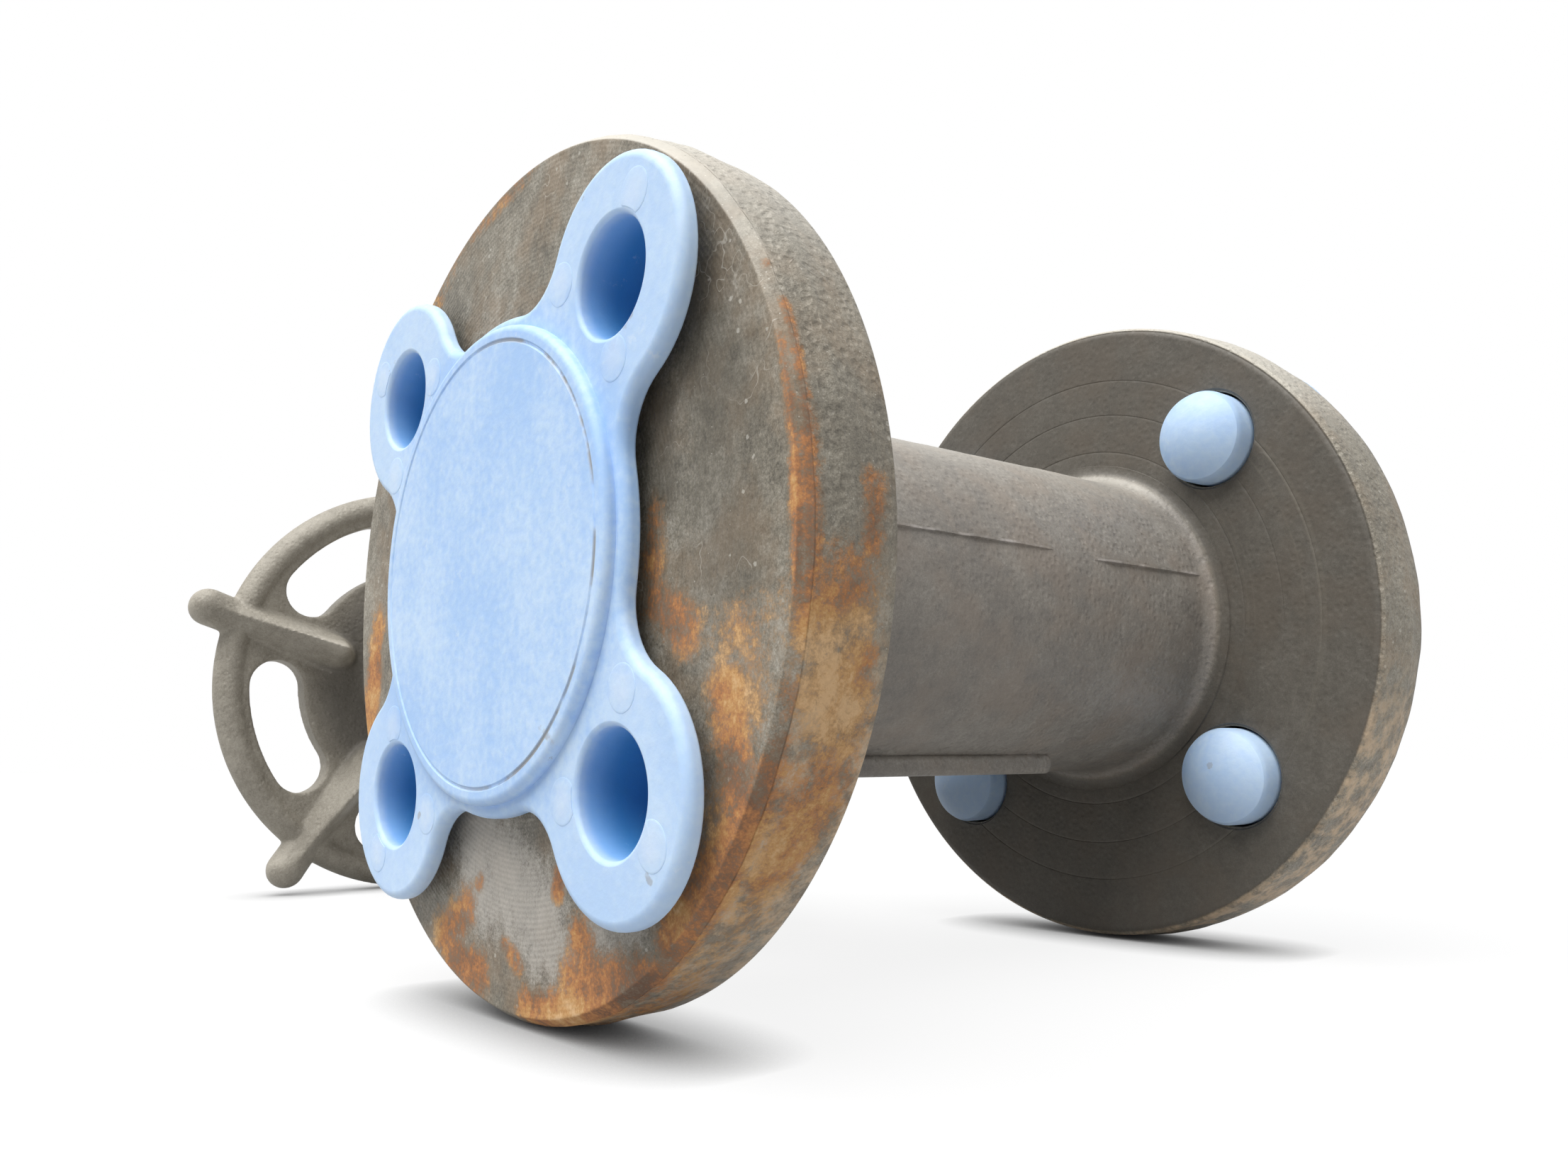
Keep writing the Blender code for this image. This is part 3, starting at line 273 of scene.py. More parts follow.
def drills(name: str, radius: float, ends: Pair, spots: Iterable[Pair]) -> list[Thing]:
    """Round tools along the stem axis at (x, z) spots."""
    return [moved(rod(name, radius, Axis.STEM, *ends, 32), (x, 0.0, z)) for x, z in spots]


def corners(x: float, z: float) -> Iterable[Pair]:
    """The four (x, z) corners of a rectangle about the stem axis."""
    return product((-x, x), (-z, z))


def ring(name: str, radii: Pair, axis: Axis, ends: Pair, edge: float) -> Thing:
    """Ring along an axis with all four edges broken."""
    inner, outer = radii
    low, high = ends
    profile = [
        (inner + edge, high),
        (outer - edge, high),
        (outer, high - edge),
        (outer, low + edge),
        (outer - edge, low),
        (inner + edge, low),
        (inner, low + edge),
        (inner, high - edge),
    ]
    return turned(name, profile, axis)


def moved(
    made: Thing, shift: Sequence[float] = (0.0, 0.0, 0.0), turn: float = 0.0, about: str = "Y"
) -> Thing:
    """The object with its mesh turned about an axis and then shifted."""
    made.data.transform(Matrix.Translation(shift) @ Matrix.Rotation(turn, 4, about))
    return made


def applied(made: Thing) -> Thing:
    """The object with its modifiers turned into a plain mesh."""
    graph = bpy.context.evaluated_depsgraph_get()
    result = bpy.data.meshes.new_from_object(made.evaluated_get(graph))
    made.modifiers.clear()
    made.data = result
    return made


def combined(target: Thing, tools: Sequence[Thing], operation: str) -> Thing:
    """The target after one Boolean with all the tools, which are used up."""
    group = bpy.data.collections.new("tools")
    for tool in tools:
        group.objects.link(tool)
    modifier = target.modifiers.new(operation, "BOOLEAN")
    modifier.operation = operation
    modifier.solver = "EXACT"
    modifier.operand_type = "COLLECTION"
    modifier.collection = group
    applied(target)
    for tool in tools:
        bpy.data.objects.remove(tool)
    bpy.data.collections.remove(group)
    return target


def merged(target: Thing, *tools: Thing) -> Thing:
    """Union of the target and the tools."""
    return combined(target, tools, "UNION")


def carved(target: Thing, *tools: Thing) -> Thing:
    """The target with the tools taken away."""
    return combined(target, tools, "DIFFERENCE")


def softened(made: Thing, voxel: float, rounds: int) -> Thing:
    """One skin over the whole body, its corners and joints rounded as a casting's are."""
    skin = made.modifiers.new("skin", "REMESH")
    skin.mode = "VOXEL"
    skin.voxel_size = voxel
    relax = made.modifiers.new("relax", "SMOOTH")
    relax.factor = 0.5
    relax.iterations = rounds
    return applied(made)


def shaded(made: Thing, crease: float = 32.0) -> Thing:
    """Smooth shading that follows the large faces and keeps edges over a number of degrees."""
    made.data.shade_smooth()
    made.data.set_sharp_from_angle(angle=math.radians(crease))
    weigh = made.modifiers.new("weigh", "WEIGHTED_NORMAL")
    weigh.keep_sharp = True
    return applied(made)


def dressed(made: Thing, body: str, slot: str, material: Material, *nodes: str) -> Thing:
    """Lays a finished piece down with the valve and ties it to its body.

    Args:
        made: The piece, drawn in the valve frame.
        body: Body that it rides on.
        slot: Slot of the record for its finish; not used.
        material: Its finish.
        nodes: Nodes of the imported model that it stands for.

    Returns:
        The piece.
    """
    made.data.transform(LIE)
    made.data.materials.clear()
    made.data.materials.append(material)
    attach(made, body)
    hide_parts(*nodes)
    LOG.info("%s: %d faces on %s", made.name, len(made.data.polygons), body)
    return made


# Node tools


def reckoned(operation: str, swapped: bool = False) -> Callable[["Value", Feed], "Value"]:
    """Operator of Value that adds a math node.

    Args:
        operation: What the node does.
        swapped: Whether the other value comes first.

    Returns:
        The operator.
    """

    def operator(value: "Value", other: Feed) -> "Value":
        """Adds the node."""
        pair = (other, value) if swapped else (value, other)
        return value.nodes.math(operation, *pair)

    return operator


class Value:
    """Result of a node, reckoned with like a number. The sign | gives the larger of two."""

    __add__ = reckoned("ADD")
    __radd__ = reckoned("ADD", True)
    __sub__ = reckoned("SUBTRACT")
    __rsub__ = reckoned("SUBTRACT", True)
    __mul__ = reckoned("MULTIPLY")
    __rmul__ = reckoned("MULTIPLY", True)
    __truediv__ = reckoned("DIVIDE")
    __rtruediv__ = reckoned("DIVIDE", True)
    __pow__ = reckoned("POWER")
    __or__ = reckoned("MAXIMUM")

    def __init__(self, nodes: "Nodes", socket: Socket) -> None:
        """Ties an output to the tree that it is in."""
        self.nodes = nodes
        self.socket = socket

    def __abs__(self) -> "Value":
        """The value without its sign."""
        return self.nodes.math("ABSOLUTE", self)

    def scaled(self, share: Feed, plus: Feed) -> "Value":
        """The value times a share, plus another, in one node."""
        return self.nodes.math("MULTIPLY_ADD", self, share, plus)


class Nodes:
    """Short ways to add nodes to a tree of either kind."""

    def __init__(self, tree: bpy.types.NodeTree) -> None:
        """Wraps a tree."""
        self.tree = tree

    def link(self, feed: Union[Value, Socket], target: Socket) -> None:
        """Leads a value to an input."""
        self.tree.links.new(feed.socket if isinstance(feed, Value) else feed, target)

    def feed(self, node: bpy.types.Node, **feeds: Union[Value, Socket]) -> None:
        """Leads values to a node's inputs, named with _ for a space."""
        for label, feed in feeds.items():
            self.link(feed, node.inputs[label.replace("_", " ")])

    def node(self, kind: str, feeds: Optional[dict] = None, **settings: object) -> bpy.types.Node:
        """A node with its settings and its inputs, each linked or set."""
        made = self.tree.nodes.new(kind)
        for label, value in settings.items():
            setattr(made, label, value)
        for label, feed in (feeds or {}).items():
            if isinstance(feed, (Value, Socket)):
                self.link(feed, made.inputs[label])
            else:
                made.inputs[label].default_value = feed
        return made

    def value(
        self,
        kind: str,
        feeds: Optional[dict] = None,
        output: Union[int, str] = 0,
        **settings: object,
    ) -> Value:
        """One output of a new node."""
        return Value(self, self.node(kind, feeds, **settings).outputs[output])

    def math(self, operation: str, *feeds: Feed, clamp: bool = False) -> Value:
        """Result of a sum on one to three values."""
        numbered = dict(enumerate(feeds))
        return self.value("ShaderNodeMath", numbered, operation=operation, use_clamp=clamp)

    def split(self, place: Feed) -> list[Value]:
        """The three coordinates of a place."""
        outputs = self.node("ShaderNodeSeparateXYZ", {0: place}).outputs
        return [Value(self, output) for output in outputs]


class Recipe(Nodes):
    """Geometry Nodes tree with named inputs that is run once into a plain mesh."""

    KINDS = {float: "NodeSocketFloat", int: "NodeSocketInt", Thing: "NodeSocketObject"}

    def __init__(self, name: str, **inputs: Union[float, int, Thing]) -> None:
        """Makes the tree with an input for each size or object."""
        super().__init__(bpy.data.node_groups.new(name, "GeometryNodeTree"))
        face = self.tree.interface
        face.new_socket("Geometry", in_out="OUTPUT", socket_type="NodeSocketGeometry")
        self.inputs = {}
        for label, value in inputs.items():
            socket = face.new_socket(label, in_out="INPUT", socket_type=self.KINDS[type(value)])
            self.inputs[socket.identifier] = value
        self.entry = self.tree.nodes.new("NodeGroupInput")

    def size(self, label: str) -> Value:
        """A named input."""
        return Value(self, self.entry.outputs[label])

    def shape(self, label: str) -> Value:
        """Geometry of a named input object."""
        return self.value("GeometryNodeObjectInfo", {"Object": self.size(label)}, "Geometry")

    def shaped(self, geometry: Value, **feeds: Feed) -> Value:
        """Geometry after a shift, turn or scale."""
        named = {label.capitalize(): feed for label, feed in feeds.items()}
        return self.value("GeometryNodeTransform", {"Geometry": geometry, **named})

    def run(self, name: str, result: Value, material: Material) -> Thing:
        """Realizes the result and gives it back as a plain mesh object."""
        real = self.value("GeometryNodeRealizeInstances", {0: result})
        painted = self.value("GeometryNodeSetMaterial", {"Geometry": real, "Material": material})
        leave = self.tree.nodes.new("NodeGroupOutput")
        self.link(painted, leave.inputs[0])
        made = bpy.data.objects.new(name, bpy.data.meshes.new(name))
        bpy.context.scene.collection.objects.link(made)
        modifier = made.modifiers.new(name, "NODES")
        modifier.node_group = self.tree
        for identifier, value in self.inputs.items():
            modifier[identifier] = value
        return applied(made)


def threaded(
    name: str, radius: float, ends: Pair, pitch: float, run: Pair, material: Material
) -> Thing:
    """Round bar along the stem axis with a screw thread cut over part of its length.

    Args:
        name: Name of the object.
        radius: Radius over the thread's crests.
        ends: Low and high end of the bar.
        pitch: Advance of the thread in one turn.
        run: Where the thread starts and stops.
        material: Finish of the bar.

    Returns:
        The closed bar.
    """
    low, high = ends
    recipe = Recipe(
        name + "_thread",
        Radius=radius,
        Length=high - low,
        Low=low,
        Pitch=pitch,
        Start=run[0],
        Stop=run[1],
        Depth=0.32 * pitch,
        Chamfer=0.35 * pitch,
    )
    size = recipe.size
    sizes = {
        "Vertices": 48,
        "Side Segments": max(8, round((high - low) / pitch * 10)),
        "Radius": size("Radius"),
        "Depth": size("Length"),
    }
    bar = recipe.value("GeometryNodeMeshCylinder", sizes, "Mesh")
    middle = size("Length").scaled(0.5, size("Low"))
    upright = recipe.shaped(bar, rotation=(-math.pi / 2, 0.0, 0.0))
    lifted = recipe.value("ShaderNodeCombineXYZ", {1: middle})
    bar = recipe.shaped(upright, translation=lifted)
    place = recipe.value("GeometryNodeInputPosition")
    x, y, z = recipe.split(place)
    lap = recipe.math("ARCTAN2", x, z) / TURN
    phase = recipe.math("FRACT", y / size("Pitch") - lap)
    wave = abs(phase.scaled(2.0, -1.0))
    groove = recipe.value("ShaderNodeMapRange", {0: wave, 1: 0.35, 2: 0.75})
    fade_in = recipe.value("ShaderNodeMapRange", {0: y - size("Start"), 1: 0.0, 2: pitch})
    fade_out = recipe.value("ShaderNodeMapRange", {0: size("Stop") - y, 1: 0.0, 2: pitch})
    cut = groove * size("Depth") * (fade_in * fade_out)
    top = size("Low") + size("Length")
    cut |= size("Chamfer") - (top - y)
    share = 1.0 - cut / size("Radius")
    scale = recipe.value("ShaderNodeCombineXYZ", {0: share, 1: 1.0, 2: share})
    spot = recipe.value("ShaderNodeVectorMath", {0: place, 1: scale}, operation="MULTIPLY")
    result = recipe.value("GeometryNodeSetPosition", {"Geometry": bar, "Position": spot})
    return recipe.run(name, result, material)


def repeated(
    name: str, model: Thing, counts: tuple[int, int], sizes: Pair, material: Material
) -> Thing:
    """Copies of a model on a grid across the stem axis, in one mesh.

    Args:
        name: Name of the object.
        model: Model to copy, which is used up.
        counts: Copies along the pipe and up.
        sizes: Distance between the outermost copies along the pipe and up.
        material: Finish of the copies.

    Returns:
        The mesh of all copies.
    """
    recipe = Recipe(
        name + "_grid",
        Model=model,
        Along=counts[0],
        Up=counts[1],
        Along_Size=sizes[0],
        Up_Size=sizes[1],
    )
    names = {"Size X": "Along_Size", "Size Y": "Up_Size", "Vertices X": "Along", "Vertices Y": "Up"}
    feeds = {label: recipe.size(source) for label, source in names.items()}
    grid = recipe.value("GeometryNodeMeshGrid", feeds)
    upright = recipe.shaped(grid, rotation=(math.pi / 2, 0.0, 0.0))
    feeds = {"Points": upright, "Instance": recipe.shape("Model")}
    copies = recipe.value("GeometryNodeInstanceOnPoints", feeds)
    made = recipe.run(name, copies, material)
    bpy.data.objects.remove(model)
    return made


# Shader tools


class Graph(Nodes):
    """Short ways to add shader nodes to a tree."""

    SINGLE = ("LENGTH", "DISTANCE", "DOT_PRODUCT")

    def vector(self, operation: str, *feeds: Feed) -> Value:
        """Result of a sum on vectors, a single value for some operations."""
        output = "Value" if operation in self.SINGLE else 0
        numbered = dict(enumerate(feeds))
        return self.value("ShaderNodeVectorMath", numbered, output, operation=operation)

    def stretched(self, vector: Feed, share: Value) -> Value:
        """A vector or colour times a value."""
        feeds = {0: vector, "Scale": share}
        return self.value("ShaderNodeVectorMath", feeds, operation="SCALE")

    def span(
        self, value: Feed, low: Feed, high: Feed, start: float = 0.0, stop: float = 1.0
    ) -> Value:
        """A value's place between two others, eased at both ends."""
        feeds = {0: value, 1: low, 2: high, 3: start, 4: stop}
        return self.value("ShaderNodeMapRange", feeds, interpolation_type="SMOOTHSTEP")

    def mix(self, share: Feed, first: Feed, second: Feed) -> Value:
        """Two colours mixed."""
        feeds = {0: share, 6: self.rgba(first), 7: self.rgba(second)}
        return self.value("ShaderNodeMix", feeds, 2, data_type="RGBA")

    @staticmethod
    def rgba(colour: Feed) -> Feed:
        """A colour with its alpha, or the value as it is."""
        return colour if isinstance(colour, Value) else (*colour[:3], 1.0)

    def noise(
        self, place: Value, scale: float, detail: float = 4.0, rough: float = 0.6, bend: float = 0.0
    ) -> Value:
        """Cloudy noise from 0 to 1."""
        grain = {"Scale": scale, "Detail": detail, "Roughness": rough, "Distortion": bend}
        return self.value("ShaderNodeTexNoise", {"Vector": place, **grain}, "Fac")

    def cells(self, place: Value, scale: float, feature: str = "F1") -> Value:
        """Distance to the nearest of many scattered points, or to the edge between them."""
        feeds = {"Vector": place, "Scale": scale}
        return self.value("ShaderNodeTexVoronoi", feeds, "Distance", feature=feature)

    def ramp(self, value: Value, stops: Sequence[tuple[float, Colour]]) -> Value:
        """Colour along a ramp."""
        made = self.node("ShaderNodeValToRGB", {0: value})
        points = made.color_ramp.elements
        while len(points) < len(stops):
            points.new(0.5)
        for point, (at, colour) in zip(points, stops):
            point.position = at
            point.color = (*colour, 1.0)
        return Value(self, made.outputs[0])

    def effect(self, group: bpy.types.NodeTree, **feeds: Feed) -> dict[str, Value]:
        """A shared effect placed in this tree with its own values."""
        made = self.node("ShaderNodeGroup", feeds, node_tree=group)
        return {output.name: Value(self, output) for output in made.outputs}


def effect_group(
    name: str, inputs: dict[str, str], outputs: dict[str, str]
) -> tuple[Graph, dict[str, Value], bpy.types.Node]:
    """Empty shader node group with named sockets.

    Args:
        name: Name of the group.
        inputs: Socket type of each input.
        outputs: Socket type of each output.

    Returns:
        The graph, its inputs by name, and its output node.
    """
    tree = bpy.data.node_groups.new(name, "ShaderNodeTree")
    for way, sockets in (("INPUT", inputs), ("OUTPUT", outputs)):
        for label, kind in sockets.items():
            tree.interface.new_socket(label, in_out=way, socket_type="NodeSocket" + kind)
    entry = tree.nodes.new("NodeGroupInput")
    leave = tree.nodes.new("NodeGroupOutput")
    graph = Graph(tree)
    return graph, {label: Value(graph, entry.outputs[label]) for label in inputs}, leave


def patch_effect() -> bpy.types.NodeTree:
    """Soft run between two points, for places that wear, stain or rust."""
    graph, given, leave = effect_group(
        "patch",
        {**dict.fromkeys(("Place", "Start", "Stop"), "Vector"), "Radius": "Float", "Edge": "Float"},
        {"Mask": "Float"},
    )
    along = graph.vector("SUBTRACT", given["Stop"], given["Start"])
    away = graph.vector("SUBTRACT", given["Place"], given["Start"])
    length = graph.vector("DOT_PRODUCT", along, along)
    share = graph.math("DIVIDE", graph.vector("DOT_PRODUCT", away, along), length, clamp=True)
    gap = graph.vector("DISTANCE", away, graph.stretched(along, share))
    outside = given["Radius"] + given["Edge"]
    mask = graph.span(gap, given["Radius"] * 0.25, outside, 1.0, 0.0)
    graph.feed(leave, Mask=mask)
    return graph.tree


def rust_effect() -> bpy.types.NodeTree:
    """Rust that eats in from a coverage mask, with its stain and colours."""
    graph, given, leave = effect_group(
        "rust",
        {"Place": "Vector", "Cover": "Float", "Pale": "Float"},
        {"Mask": "Float", "Stain": "Float", "Colour": "Color"},
    )
    place = given["Place"]
    broad = graph.noise(place, 0.15, 6.0, 0.65)
    middle = graph.noise(place, 0.8, 5.0, 0.7)
    fine = graph.noise(place, 3.4, 3.0, 0.7)
    ragged = given["Cover"]
    for cloud, share in ((broad, 1.7), (middle, 1.5), (fine, 0.8)):
        ragged = (cloud - 0.5).scaled(share, ragged)
    within = graph.span(given["Cover"], 0.02, 0.25)
    mask = graph.span(ragged, 0.36, 1.02) * within
    stain = graph.span(ragged, 0.02, 0.7) * within
    drift = graph.noise(place, 0.07, 3.0, 0.6, 0.5)
    tone = broad
    for cloud, share in ((middle, 0.75), (fine, 0.45), (drift, 0.9)):
        tone = (cloud - 0.5).scaled(share, tone)
    colour = graph.ramp(
        tone + given["Pale"],
        (
            (0.27, (0.150, 0.082, 0.052)),
            (0.42, (0.310, 0.142, 0.066)),
            (0.54, (0.490, 0.207, 0.075)),
            (0.68, (0.590, 0.322, 0.118)),
            (0.86, (0.735, 0.478, 0.250)),
        ),
    )
    graph.feed(leave, Mask=mask, Stain=stain, Colour=colour)
    return graph.tree


def grain_effect() -> bpy.types.NodeTree:
    """Mottled tone and pitted height of a hot-worked or cast skin."""
    graph, given, leave = effect_group(
        "grain", {"Place": "Vector", "Pits": "Float"}, {"Tone": "Float", "Height": "Float"}
    )
    place = given["Place"]
    broad = graph.noise(place, 0.07, 5.0, 0.6, 0.4)
    middle = graph.noise(place, 0.45, 6.0, 0.66)
    fine = graph.noise(place, 2.2, 4.0, 0.7)
    tiny = graph.noise(place, 5.5, 2.0, 0.6)
    tone = broad * 0.32
    tone = middle.scaled(0.34, tone)
    tone = fine.scaled(0.34, tone)
    tone = (tiny - 0.5).scaled(0.3, tone)
    pits = graph.span(graph.cells(place, 0.85), 0.12, 0.55)
    height = middle.scaled(0.55, fine * 0.35)
    height += pits * given["Pits"]
    graph.feed(leave, Tone=tone, Height=height)
    return graph.tree


def speck_effect() -> bpy.types.NodeTree:
    """Scattered specks of dust, scale or paint."""
    graph, given, leave = effect_group(
        "specks", {"Place": "Vector", "Scale": "Float", "Amount": "Float"}, {"Mask": "Float"}
    )
    feeds = {"Vector": given["Place"], "Scale": given["Scale"]}
    dots = graph.node("ShaderNodeTexVoronoi", feeds)
    pick = graph.value("ShaderNodeSeparateColor", {0: dots.outputs["Color"]})
    kept = graph.math("LESS_THAN", pick, given["Amount"])
    size = graph.noise(given["Place"], 3.0, 2.0).scaled(0.2, 0.06)
    dot = graph.math("LESS_THAN", dots.outputs["Distance"], size)
    graph.feed(leave, Mask=kept * dot)
    return graph.tree


@dataclass(frozen=True)
class Effects:
    """Shader effects that the finishes share."""

    patch: bpy.types.NodeTree
    rust: bpy.types.NodeTree
    grain: bpy.types.NodeTree
    specks: bpy.types.NodeTree


def new_material(
    name: str, **constants: Feed
) -> tuple[Material, Graph, bpy.types.Node, Value]:
    """Material with a Principled shader and the place on the valve in millimetres.

    Args:
        name: Name of the material.
        constants: Values of the shader's own sockets, with _ for a space.

    Returns:
        The material, its graph, the shader node and the place.
    """
    material = bpy.data.materials.new(name)
    material.use_nodes = True
    graph = Graph(material.node_tree)
    shader = material.node_tree.nodes["Principled BSDF"]
    for label, value in constants.items():
        shader.inputs[label.replace("_", " ")].default_value = value
    spot = graph.value("ShaderNodeTexCoord", output="Object")
    back = LIE.inverted()
    lie = {
        "Vector": spot,
        "Rotation": back.to_euler(),
        "Location": back.translation / MM,
        "Scale": (1 / MM,) * 3,
    }
    return material, graph, shader, graph.value("ShaderNodeMapping", lie)


def bumped(graph: Graph, shader: bpy.types.Node, height: Value, depth: float) -> None:
    """Feeds a height in shares of a depth in metres to the shader's normal."""
    feeds = {"Height": height, "Distance": depth, "Strength": 1.0}
    graph.feed(shader, Normal=graph.value("ShaderNodeBump", feeds))


@dataclass(frozen=True)
class Streak:
    """A stained or worn run between two points in millimetres, with a soft edge."""

    start: tuple[float, float, float]
    stop: tuple[float, float, float]
    radius: float
    amount: float = 1.0
    edge: float = 2.2


def face_run(
    start: Pair, stop: Pair, radius: float, amount: float = 1.0, edge: float = 2.2
) -> Streak:
    """Run on the outer face of the near flange, from its (y, z) ends."""
    return Streak((FACE_STATION, *start), (FACE_STATION, *stop), radius, amount, edge)


FACE_STATION = -61.8
RUST_RUNS = (
    face_run((-29.5, 2.2), (-29.2, -6.8), 1.7, 0.8),
    face_run((-30.0, -7.6), (-35.2, -10.6), 3.0, 1.0),
    face_run((-41.8, -17.5), (-43.3, -29.7), 3.6),
    face_run((-43.0, -30.5), (-32.3, -42.0), 4.0),
    face_run((-30.0, -46.5), (-13.0, -46.8), 3.6),
    face_run((-14.5, -43.0), (-16.5, -47.0), 3.0),
    face_run((-20.0, -50.2), (-2.0, -52.0), 2.6, 1.1),
    face_run((14.0, -41.6), (20.8, -44.8), 3.4),
    face_run((11.0, -49.0), (18.0, -47.0), 3.4),
    face_run((10.0, -37.7), (10.6, -38.2), 0.9, 0.7, 1.2),
    face_run((-9.6, -36.2), (-9.4, -37.6), 1.1, 0.9, 1.4),
    face_run((3.6, -44.9), (0.2, -46.8), 1.1, 0.8, 1.4),
    face_run((46.2, -2.0), (48.8, -17.0), 3.2),
    face_run((42.0, 31.0), (22.0, 47.5), 1.2, 0.52),
    face_run((21.0, 48.4), (-2.0, 52.6), 0.7, 0.56, 1.4),
    face_run((-50.8, 16.0), (-52.5, 4.0), 0.4, 0.7, 1.1),
    face_run((-52.5, 3.0), (-52.6, -12.0), 0.6, 0.9, 1.3),
    Streak((-60.5, -53.5, 8.0), (-60.3, -53.2, -9.0), 0.7, 0.85, 1.7),
    Streak((-52.7, -54.0, 2.0), (-53.2, -53.9, -4.0), 0.8, 0.8),
    face_run((-44.5, -14.0), (-41.0, -33.0), 4.0, 0.62, 5.0),
    Streak((-56.5, -52.8, -9.0), (-56.5, -46.5, -27.0), 5.0, 0.78, 4.0),
    Streak((-59.6, -53.2, -9.5), (-60.4, -52.6, -12.0), 1.8, 0.8),
    Streak((-53.6, -51.8, -14.6), (-59.2, -50.9, -18.4), 2.6, 1.0, 2.8),
    Streak((-54.2, -49.8, -20.8), (-55.0, -47.2, -26.4), 2.8, 0.95, 2.8),
    Streak((-60.6, -49.1, -22.5), (-60.6, -42.0, -33.8), 1.8, 0.85),
    Streak((-60.8, -33.0, -42.5), (-60.4, -12.0, -52.4), 1.7, 0.8),
    Streak((-61.2, -48.1, 24.6), (-60.8, -48.0, 24.2), 0.5, 0.8, 0.9),
    Streak((-60.1, -49.8, 19.8), (-60.3, -52.6, 9.5), 0.4, 0.8, 0.9),
    Streak((-54.5, -50.8, -18.0), (-55.5, -41.0, -34.6), 3.4, 0.95, 4.5),
    Streak((-55.5, -40.0, -36.0), (-56.0, -14.0, -52.0), 3.0, 0.62, 4.5),
)
PALE_RUNS = (
    Streak((-54.6, -52.2, -13.4), (-57.6, -51.0, -18.0), 2.4, 1.0, 3.0),
    Streak((-53.8, -50.4, -19.4), (-55.0, -46.4, -27.0), 3.4, 0.8, 3.0),
    face_run((-20.0, -51.4), (-2.0, -53.0), 2.2, 0.8, 2.0),
    Streak((-55.5, -46.0, -28.0), (-56.0, -36.0, -40.0), 4.0, 0.7, 4.0),
)
# Painted shade on the near flange's face, beside the cover on its -Y side.
COVER_SHADE_RUNS = (
    face_run((-36.0, 30.0), (-41.0, 12.0), 4.5, 0.55, 6.0),
    face_run((-40.0, 8.0), (-41.5, -6.0), 4.0, 0.40, 6.0),
    face_run((-31.0, 14.0), (-31.5, 4.0), 2.0, 0.55, 3.0),
)
BARE_RUNS = (
    face_run((12.0, -30.0), (8.0, -38.0), 6.0, 1.0, 6.0),
    face_run((4.0, -36.5), (-6.0, -42.0), 6.0, 1.0, 6.0),
    face_run((-19.0, -40.4), (-24.0, -39.0), 3.0, 0.8, 5.0),
)
GRIME_RUNS = (
    Streak((-67.4, -15.4, -19.8), (-67.4, -17.6, -21.3), 0.5, 0.7, 0.8),
    Streak((-66.0, -34.0, -34.6), (-66.0, -34.6, -35.2), 0.4, 0.9, 0.5),
    Streak((-66.0, -30.2, 22.0), (-66.0, -31.2, 23.0), 0.8, 0.8, 1.0),
    Streak((-66.0, 19.4, -29.3), (-66.0, 19.8, -29.7), 0.3, 0.9, 0.4),
)


